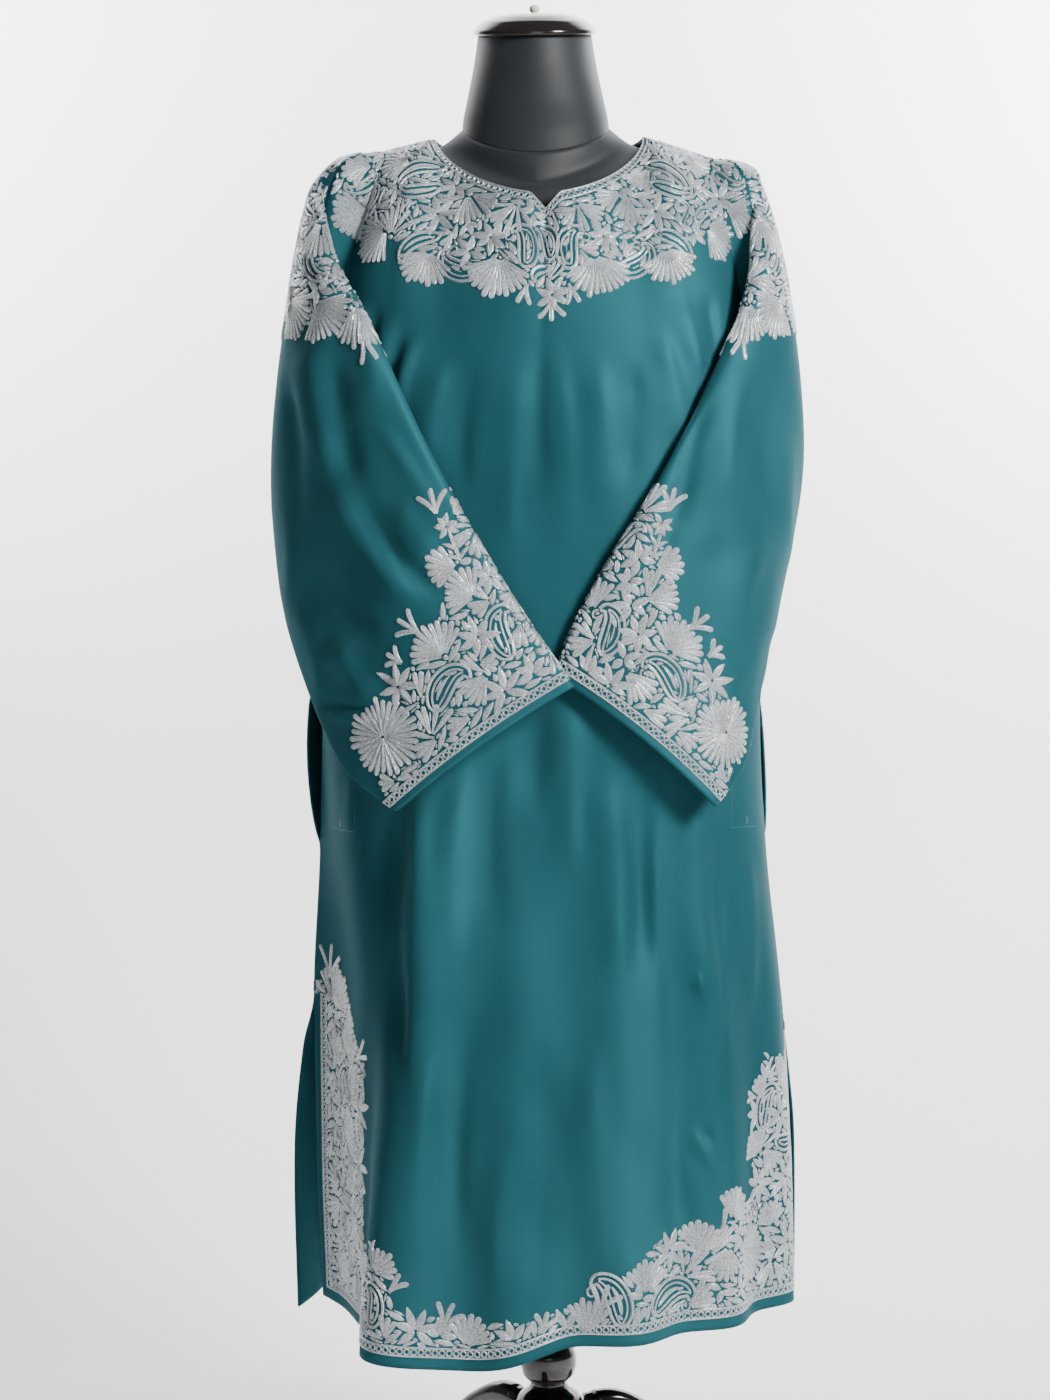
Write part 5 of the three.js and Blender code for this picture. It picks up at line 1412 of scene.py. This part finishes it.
# Grid rows of the sheets between which each part of the embroidery lies.
SKIRT_TOP_ROW, CUFF_TOP_ROW, CAP_LAST_ROW, POCKET_ROWS = 149, 80, 84, (113, 147)


# Borders: offset and width of both chains, offset of the rings between, and where other stitches may start.
NECK_BORDER = {"chains": ((1.6, 2.0), (10.2, 2.2)), "rings": 5.9, "end": 12.5, "half": 108}
SKIRT_BORDER = {
    "chains": ((11.6, 2.0), (19.4, 2.2)), "rings": 15.5, "corner": 12.0, "ring_corner": 20.0,
    "kept": 20.5, "end": 21.0,
}
CUFF_BORDER = {"chains": ((8.4, 2.0), (16.2, 2.2)), "rings": 12.3, "kept": 17.8, "end": 18.4}
POCKET_BORDER = {"chains": ((4.0, 1.8), (11.4, 2.0)), "rings": 7.7, "end": 12.8, "swell": 34}
# The skirt's chart starts near this height. The slit borders end at these heights, left (2) and right (3).
SKIRT_TOP_Z, SLIT_BORDER_TOPS = 700, {2: 576, 3: 530}


def set_motifs(work, rows, side=-1, mirror=None):
    chart = work.chart
    for kind, x, z, way, size, flip in rows:
        sides = [(x, way, bool(flip))]
        if mirror is not None and abs(x - mirror) > 4:
            sides.append((2 * mirror - x, 180 - way, not flip))
        for place, heading, mirrored in sides:
            spot, turn = chart.turned(place, z, heading, side)
            work.motif(kind, spot, turn, size, mirrored)


def sew_yoke(name, sheet, side, motifs, seed):
    columns = sheet.grid.shape[1]
    chart = Chart(sheet, slice(0, UPPER_ROWS), np.arange(columns), columns // 2)
    work = Needlework(chart, seed)
    first, last = (columns - 1) * (1 - NECK_SHARE) / 2, (columns - 1) * (1 + NECK_SHARE) / 2
    for offset, width in NECK_BORDER["chains"]:
        work.chain(chart.row_path(0, offset, first, last), width)
    work.rings(chart.row_path(0, NECK_BORDER["rings"], first, last))
    if side < 0:
        set_motifs(work, YOKE_PAIR, side)
    set_motifs(work, motifs, side, YOKE_MIRROR if side < 0 else 0.0)
    known = work.known
    x, z, down = known[..., AT_X], known[..., AT_Z], known[..., FROM_TOP]
    centre = YOKE_MIRROR if side < 0 else 0.0
    spread = np.abs(x - centre)
    low_edge = YOKE_EDGE_FRONT if side < 0 else YOKE_EDGE_BACK
    # The neck's border is as wide as the neck. Beyond it the needlework runs up to the shoulder seam.
    past_border = (down > NECK_BORDER["end"]) | (spread > NECK_BORDER["half"])
    region = (z > read(low_edge, "x", spread, "z")) & past_border & (down > 1.0)
    region &= (known[..., FROM_LEFT] > 2.0) & (known[..., FROM_RIGHT] > 2.0)
    work.scatter(region, ("fan", "star", "fan", "boat"))
    work.fill(region)
    return work.stitched(name, thread)


def sew_skirt(name, sheet, side, motifs, seed):
    rows, columns = sheet.grid.shape[:2]
    chart = Chart(sheet, slice(SKIRT_TOP_ROW, rows), np.arange(columns), columns // 2)
    work = Needlework(chart, seed)
    height = rows - SKIRT_TOP_ROW
    row_of = 1 / np.linalg.norm(np.diff(chart.points[:, columns // 2], axis=0), axis=-1).mean()
    top_rows = {edge: (SKIRT_TOP_Z - top) * row_of for edge, top in SLIT_BORDER_TOPS.items()}
    near = SKIRT_BORDER["corner"] / np.linalg.norm(np.diff(chart.points[-1], axis=0), axis=-1).mean()
    for offset, width in SKIRT_BORDER["chains"]:
        work.chain(chart.row_path(1, offset, near, columns - 1 - near), width)
        for edge, top in top_rows.items():
            foot = height - 1 - SKIRT_BORDER["corner"] * row_of
            work.chain(chart.column_path(edge, offset, top, foot), width)
    work.rings(chart.row_path(1, SKIRT_BORDER["rings"], near * 1.4, columns - 1 - near * 1.4))
    for edge, top in top_rows.items():
        foot = height - 1 - SKIRT_BORDER["ring_corner"] * row_of
        work.rings(chart.column_path(edge, SKIRT_BORDER["rings"], top, foot))
    known = work.known
    x, z = known[..., AT_X], known[..., AT_Z]
    up, left, right = known[..., FROM_FOOT], known[..., FROM_LEFT], known[..., FROM_RIGHT]
    left_top, right_top = (SLIT_BORDER_TOPS[edge] - 2 for edge in (2, 3))
    kept = SKIRT_BORDER["kept"]
    work.kept = (up < kept) | ((left < kept) & (z < left_top)) | ((right < kept) & (z < right_top))
    set_motifs(work, motifs, side)
    hem = up < read(HEM_BAND, "x", x if side < 0 else -np.abs(x), "high")
    if side < 0:
        left_slit = (x < read(LEFT_SLIT, "z", z, "x")) & (left < 130)
        right_slit = (x > read(RIGHT_SLIT, "z", z, "x")) & (right < 110)
        slits = left_slit | right_slit
    else:
        slits = (np.minimum(left, right) < read(BACK_SLIT, "z", z, "wide")) & (z < 588)
    end = SKIRT_BORDER["end"]
    region = (hem | slits) & (up > end) & ((left > end) | (z > left_top)) & ((right > end) | (z > right_top))
    region &= (left > 3) & (right > 3)
    work.scatter(region, ("fan", "star", "fan", "boteh"))
    work.fill(region)
    return work.stitched(name, thread)


def sew_sleeve(side, sheet, seed):
    """The cuff's deep corner, mirrored about the top fold, and the patch that hangs from the armhole."""
    word = "left" if side < 0 else "right"
    columns = np.arange(-SLEEVE_COLUMNS // 2, SLEEVE_COLUMNS // 2 + 1) % SLEEVE_COLUMNS
    middle = SLEEVE_COLUMNS // 2
    chart = Chart(sheet, slice(CUFF_TOP_ROW, SLEEVE_ROWS), columns, middle)
    work = Needlework(chart, seed)
    for offset, width in CUFF_BORDER["chains"]:
        work.chain(chart.row_path(1, offset, 0, 2 * middle), width)
    work.rings(chart.row_path(1, CUFF_BORDER["rings"], 0, 2 * middle))
    first = len(work.strokes)
    work.kept = work.known[..., FROM_FOOT] < CUFF_BORDER["kept"]
    set_motifs(work, CUFF_MOTIFS if side < 0 else RIGHT_CUFF_MOTIFS)
    for line, widths, lift in work.strokes[first:]:
        flipped = line * np.array([-1, 1])
        rows, columns_hit = work.stamp(flipped, widths, -0.3)
        if len(rows) and work.taken[rows, columns_hit].mean() < 0.5:
            work.add(flipped, widths, lift)
    known = work.known
    across = np.abs(np.arange(work.taken.shape[1]) + 0.5 + work.low[0])[None, :] + 0 * known[..., FROM_TOP]
    up = known[..., FROM_FOOT]
    region = (up < read(CUFF_BAND, "across", across, "high")) & (up > CUFF_BORDER["end"])
    work.scatter(region, ("fan", "star", "fan", "boat"))
    work.fill(region)
    cuff = work.stitched(f"embroidery_cuff_{word}", thread)
    chart = Chart(sheet, slice(0, CAP_LAST_ROW), columns, middle)
    work = Needlework(chart, seed + 1)
    known = work.known
    xs = np.arange(work.taken.shape[1]) + 0.5 + work.low[0]
    for kind, x, z, way, size in CAP_MOTIFS:
        for sign in ((1, -1) if x else (1,)):
            miss = np.abs(xs[None, :] - sign * x) + np.abs(known[..., AT_Z] - z) + np.where(work.inside, 0, 1e6)
            r, c = np.unravel_index(miss.argmin(), miss.shape)
            heading = math.radians(way if sign > 0 else 180 - way)
            work.motif(kind, np.array([c, r]) + 0.5 + work.low, heading, size, sign < 0)
    across = np.abs(xs)[None, :] + 0 * known[..., FROM_TOP]
    region = (known[..., AT_Z] > read(CAP_BAND, "across", across, "z")) & (known[..., FROM_TOP] > 1.0)
    work.scatter(region, ("fan", "star", "sprig", "boat"))
    work.fill(region)
    return cuff, work.stitched(f"embroidery_cap_{word}", thread)


def sew_pockets():
    """A strip of rings and leaves along the pocket mouths, on the back panel's edges."""
    columns = back_sheet.grid.shape[1]
    chart = Chart(back_sheet, slice(POCKET_ROWS[0], POCKET_ROWS[1]), np.arange(columns), columns // 2)
    work = Needlework(chart, 51)
    rows = POCKET_ROWS[1] - POCKET_ROWS[0]
    for edge in (2, 3):
        for offset, width in POCKET_BORDER["chains"]:
            work.chain(chart.column_path(edge, offset, 2, rows - 3), width)
        work.rings(chart.column_path(edge, POCKET_BORDER["rings"], 2, rows - 3))
    known = work.known
    near = np.minimum(known[..., FROM_LEFT], known[..., FROM_RIGHT])
    ends = np.minimum(known[..., FROM_TOP], known[..., FROM_FOOT])
    reach = POCKET_BORDER["swell"] * smooth(ends / 60) + 12
    work.fill((near > POCKET_BORDER["end"]) & (near < reach) & (ends > 8))
    return work.stitched("embroidery_pockets", thread)


def sew_plain_lines():
    """Teal sewing: the pocket bags' stitch lines with their bar tacks, on the front panel."""
    columns = front_sheet.grid.shape[1]
    chart = Chart(front_sheet, slice(110, 170), np.arange(columns), columns // 2)
    work = Needlework(chart, 61)
    for side in (-1, 1):
        corners = [(176, 806), (177, 780), (176, 744), (201, 741)]
        path = np.array([chart.find(side * x, z) for x, z in corners])
        for a, b in zip(path[:-1], path[1:]):
            count = max(int(np.linalg.norm(b - a) / 3.4), 1)
            for k in range(count):
                work.add(*finger(mix(a, b, k / count), mix(a, b, (k + 0.72) / count), 0.9, 0.9))
        tack = chart.find(side * 192, 746)
        for k in range(5):
            work.add(*finger(tack + (-3.0 + k * 0.4, 1.4 * k), tack + (3.0 - k * 0.4, 1.4 * k), 1.0, 0.9))
    return work.stitched("stitches_pocket_bags", teal_thread, 0.4)


# ---- Embroidery made ----
sewn = [sew_yoke("embroidery_yoke_front", front_sheet, -1, YOKE_MOTIFS, 11)]
sewn.append(sew_yoke("embroidery_yoke_back", back_sheet, 1, BACK_YOKE_MOTIFS, 12))
sewn.append(sew_skirt("embroidery_skirt_front", front_sheet, -1, SKIRT_MOTIFS, 21))
sewn.append(sew_skirt("embroidery_skirt_back", back_sheet, 1, BACK_SKIRT_MOTIFS, 22))
sewn += sew_sleeve(-1, left_sheet, 31)
sewn += sew_sleeve(1, right_sheet, 41)
sewn.append(sew_pockets())
sewn.append(sew_plain_lines())


# ---- Neck binding ----
def neck_binding_mesh():
    drop, thick, gap, side_slope, middle_slope = 4.0, 1.2, 1.3, 0.25, 1.7
    frames = []
    for name, steps in (("front", 128), ("back", 72)):
        sign = -1 if name == "front" else 1
        at = sign * NECK_SHARE * (1 - 2 * np.arange(steps) / steps)
        edge = panel_points(name, at, np.zeros(steps))
        away = unit(edge * np.array([1, 1, 0]))
        slope = mix(side_slope, middle_slope, np.cos(np.abs(at) / NECK_SHARE * math.pi / 2))
        down = unit(away - stack(0 * slope, 0, slope))
        out = unit(stack(away[:, 0] * slope, away[:, 1] * slope, 1))
        frames.append((edge, down, out))
    edge, down, out = (np.concatenate(parts) for parts in zip(*frames))
    corners = [(0.4, 0), (drop - 0.4, 0), (drop, 0.4), (drop, thick - 0.4), (drop - 0.4, thick), (0.4, thick),
               (0, thick - 0.4), (0, 0.4)]
    rings = [edge + down * low - out * (CLOTH + gap + deep) for low, deep in corners]
    n = len(edge)
    index = np.arange(n * len(corners)).reshape(len(corners), n)
    after = np.roll(index, -1, axis=1)
    corners = [index, after, np.roll(after, -1, axis=0), np.roll(index, -1, axis=0)]
    quads = np.stack(corners, axis=-1).reshape(-1, 4)[:, ::-1]
    return make_object("neck_binding_cloth", np.concatenate(rings), quads.tolist(), velvet)


neck_binding_cloth = neck_binding_mesh()


# ---- Dress form and stand ----
def form_rings(table, rows, count, shift=0.0):
    place = np.linspace(0, table["row"][-1], rows)[:, None]
    angle = np.linspace(0, 2 * math.pi, count, endpoint=False)[None, :]

    def get(column):
        return read(table, "row", place, column)

    across, out = signed_power(np.cos(angle), 2 / get("power")), signed_power(np.sin(angle), 2 / get("power"))
    end = np.where(out < 0, get("front"), get("back"))
    depth = np.where(out < 0, get("front_y"), get("back_y"))
    return stack(get("half") * across, depth * out, mix(get("side"), end, np.abs(out) ** 1.3) + shift)


def loft_object(name, rings, material):
    rows, count = rings.shape[:2]
    faces = grid_faces(rows, count, True).tolist()
    for first, turn in ((0, 1), ((rows - 1) * count, -1)):
        faces.append([first + i for i in range(count)][::turn])
    return make_object(name, rings.reshape(-1, 3), faces, material)


def lathe_rings(profile, rows_between, segments):
    """Rings of a turned solid. Corners of the profile are kept and softened by points close on both sides."""
    profile = np.array(profile, float)
    points = []
    for a, b in zip(profile[:-1], profile[1:]):
        points += [mix(a, b, t) for t in np.linspace(0, 1, rows_between, endpoint=False)]
    points.append(profile[-1])
    points = np.array(points)
    soft = points.copy()
    soft[1:-1] = 0.25 * points[:-2] + 0.5 * points[1:-1] + 0.25 * points[2:]
    angle = np.linspace(0, 2 * math.pi, segments, endpoint=False)
    radius, z = soft[:, :1], soft[:, 1:]
    return stack(radius * np.cos(angle), radius * np.sin(angle), z)


def leaned(points, rise):
    """Points made about the upright axis, set down on the neck's leaning top."""
    y = points[..., 1] * math.cos(LEAN) - (points[..., 2] + rise) * math.sin(LEAN) + LEAN_Y
    z = points[..., 1] * math.sin(LEAN) + (points[..., 2] + rise) * math.cos(LEAN) + LEAN_Z
    return stack(points[..., 0], y, z)


torso = loft_object("form_torso_cover", form_rings(TORSO, 90, 96), form_cover)
neck_rings = form_rings(NECK, 44, 96, SEAM)
neck_top = neck_rings[-1]
neck_top[:, 2] = LEAN_Z + (neck_top[:, 1] - LEAN_Y) * math.tan(LEAN)
neck_rings = curve_through(np.concatenate([neck_rings[:40:3], neck_top[None]]), np.linspace(0, 14, 50))
neck = loft_object("form_neck_cover", neck_rings, form_cover)
cap_rings = leaned(lathe_rings(CAP_PROFILE, 5, 96), 0.4)
cap = loft_object("neck_cap_turned", cap_rings, black_lacquer)
knob_rings = leaned(lathe_rings(KNOB_PROFILE, 5, 40), 20.8)
knob = loft_object("cap_knob_turned", knob_rings, pale_wood)
pole = loft_object("stand_pole_turned", lathe_rings(POLE_PROFILE, 5, 72), black_lacquer)


def leg_object(name, azimuth):
    place = np.linspace(0, 9, 64)
    angle = np.linspace(0, 2 * math.pi, 32, endpoint=False)
    get = {column: read(LEG, "row", place, column)[:, None] for column in ("reach", "z", "tall", "wide")}
    run = unit(np.stack([np.gradient(get["reach"][:, 0]), np.gradient(get["z"][:, 0])], axis=-1))
    flat = (get["z"] - get["tall"] / 2 < 1)[:, 0] | (place < 0.5)
    run[flat] = (1, 0)
    across = signed_power(np.cos(angle), 0.7) * get["wide"] / 2
    up = signed_power(np.sin(angle), 0.7) * get["tall"] / 2
    reach = get["reach"] - run[:, 1:] * up
    z = np.maximum(get["z"] + run[:, :1] * up, 0)
    turn = math.radians(azimuth)
    x = reach * math.cos(turn) - across * math.sin(turn)
    y = reach * math.sin(turn) + across * math.cos(turn)
    return loft_object(f"{name}_turned", stack(x, y, z), black_lacquer)


legs = {name: leg_object(name, azimuth) for name, azimuth in LEG_AZIMUTHS.items()}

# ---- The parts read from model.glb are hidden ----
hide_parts("front_panel")
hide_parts("back_panel")
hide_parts("sleeve_left")
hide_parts("sleeve_right")
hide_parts("neck_binding")
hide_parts("form_torso")
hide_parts("form_neck")
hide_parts("neck_cap")
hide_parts("cap_knob")
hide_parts("stand_pole")
for leg_name, leg in legs.items():
    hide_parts(leg_name)


# ---- Room, light and camera ----
def one_sided(material):
    """The material shows on the front of its faces alone, so a wall never hides the object from behind."""
    tree = material.node_tree
    nodes = Nodes(tree)
    back = nodes.add("ShaderNodeNewGeometry").outputs["Backfacing"]
    clear = nodes.add("ShaderNodeBsdfTransparent").outputs[0]
    mixed = nodes.add("ShaderNodeMixShader", {0: back, 1: tree.nodes["Principled BSDF"].outputs[0], 2: clear})
    tree.links.new(mixed.outputs[0], tree.nodes["Material Output"].inputs["Surface"])
    return material


def room():
    """A pale floor that curves up into a wall."""
    wall_y, bend, reach, height, steps = 1.35, 0.7, 4.5, 4.2, 24
    turn = np.linspace(0, math.pi / 2, steps)
    profile = [(-4.6, 0.0)]
    profile += [(wall_y - bend + bend * math.sin(a), bend - bend * math.cos(a)) for a in turn]
    profile.append((wall_y, height))
    points = [(x, y, z) for y, z in profile for x in (-reach, reach)]
    faces = [(2 * k, 2 * k + 1, 2 * k + 3, 2 * k + 2) for k in range(len(profile) - 1)]
    mesh = bpy.data.meshes.new("room")
    mesh.from_pydata(points, [], faces)
    mesh.polygons.foreach_set("use_smooth", [True] * len(faces))
    paint = new_material("room_paint", {"Base Color": (0.86, 0.853, 0.85, 1), "Roughness": 0.9})
    mesh.materials.append(one_sided(paint))
    piece = bpy.data.objects.new("room", mesh)
    bpy.context.scene.collection.objects.link(piece)


def area_light(name, place, target, size, power, color=(1, 1, 1)):
    light = bpy.data.lights.new(name, "AREA")
    light.shape, light.size, light.size_y = "RECTANGLE", size[0], size[1]
    light.energy, light.color = power, color
    piece = bpy.data.objects.new(name, light)
    piece.location = place
    piece.rotation_euler = (Vector(target) - Vector(place)).to_track_quat("-Z", "Y").to_euler()
    bpy.context.scene.collection.objects.link(piece)


room()
world = bpy.data.worlds.new("studio")
bpy.context.scene.world = world
world.use_nodes = True
world.node_tree.nodes["Background"].inputs["Color"].default_value = (0.95, 0.97, 1.0, 1)
world.node_tree.nodes["Background"].inputs["Strength"].default_value = 0.14
area_light("key", (1.85, -1.9, 2.3), (0.0, 0, 1.0), (0.7, 1.0), 184)
area_light("fill", (0.2, -3.2, 1.5), (0, 0, 0.9), (1.2, 1.6), 8, (0.95, 0.98, 1.0))
area_light("wall_left", (-1.25, 0.5, 2.0), (-0.9, 1.35, 2.05), (0.5, 1.5), 84)
area_light("wall_right", (1.25, 0.5, 2.0), (0.9, 1.35, 2.05), (0.5, 1.5), 118)

# Camera place from the form's axis in metres, downward tilt and roll in degrees, lens in millimetres.
CAMERA_PLACE, CAMERA_TILT, CAMERA_ROLL, CAMERA_LENS = (-0.0134, -3.0, 1.1), 4.62, 0.62, 80
camera_data = bpy.data.cameras.new("camera")
camera_data.sensor_fit, camera_data.sensor_height, camera_data.lens = "VERTICAL", 36, CAMERA_LENS
camera = bpy.data.objects.new("camera", camera_data)
camera.location = AXIS + np.array(CAMERA_PLACE)
camera.rotation_euler = (math.radians(90 - CAMERA_TILT), math.radians(CAMERA_ROLL), 0)
bpy.context.scene.collection.objects.link(camera)
bpy.context.scene.camera = camera
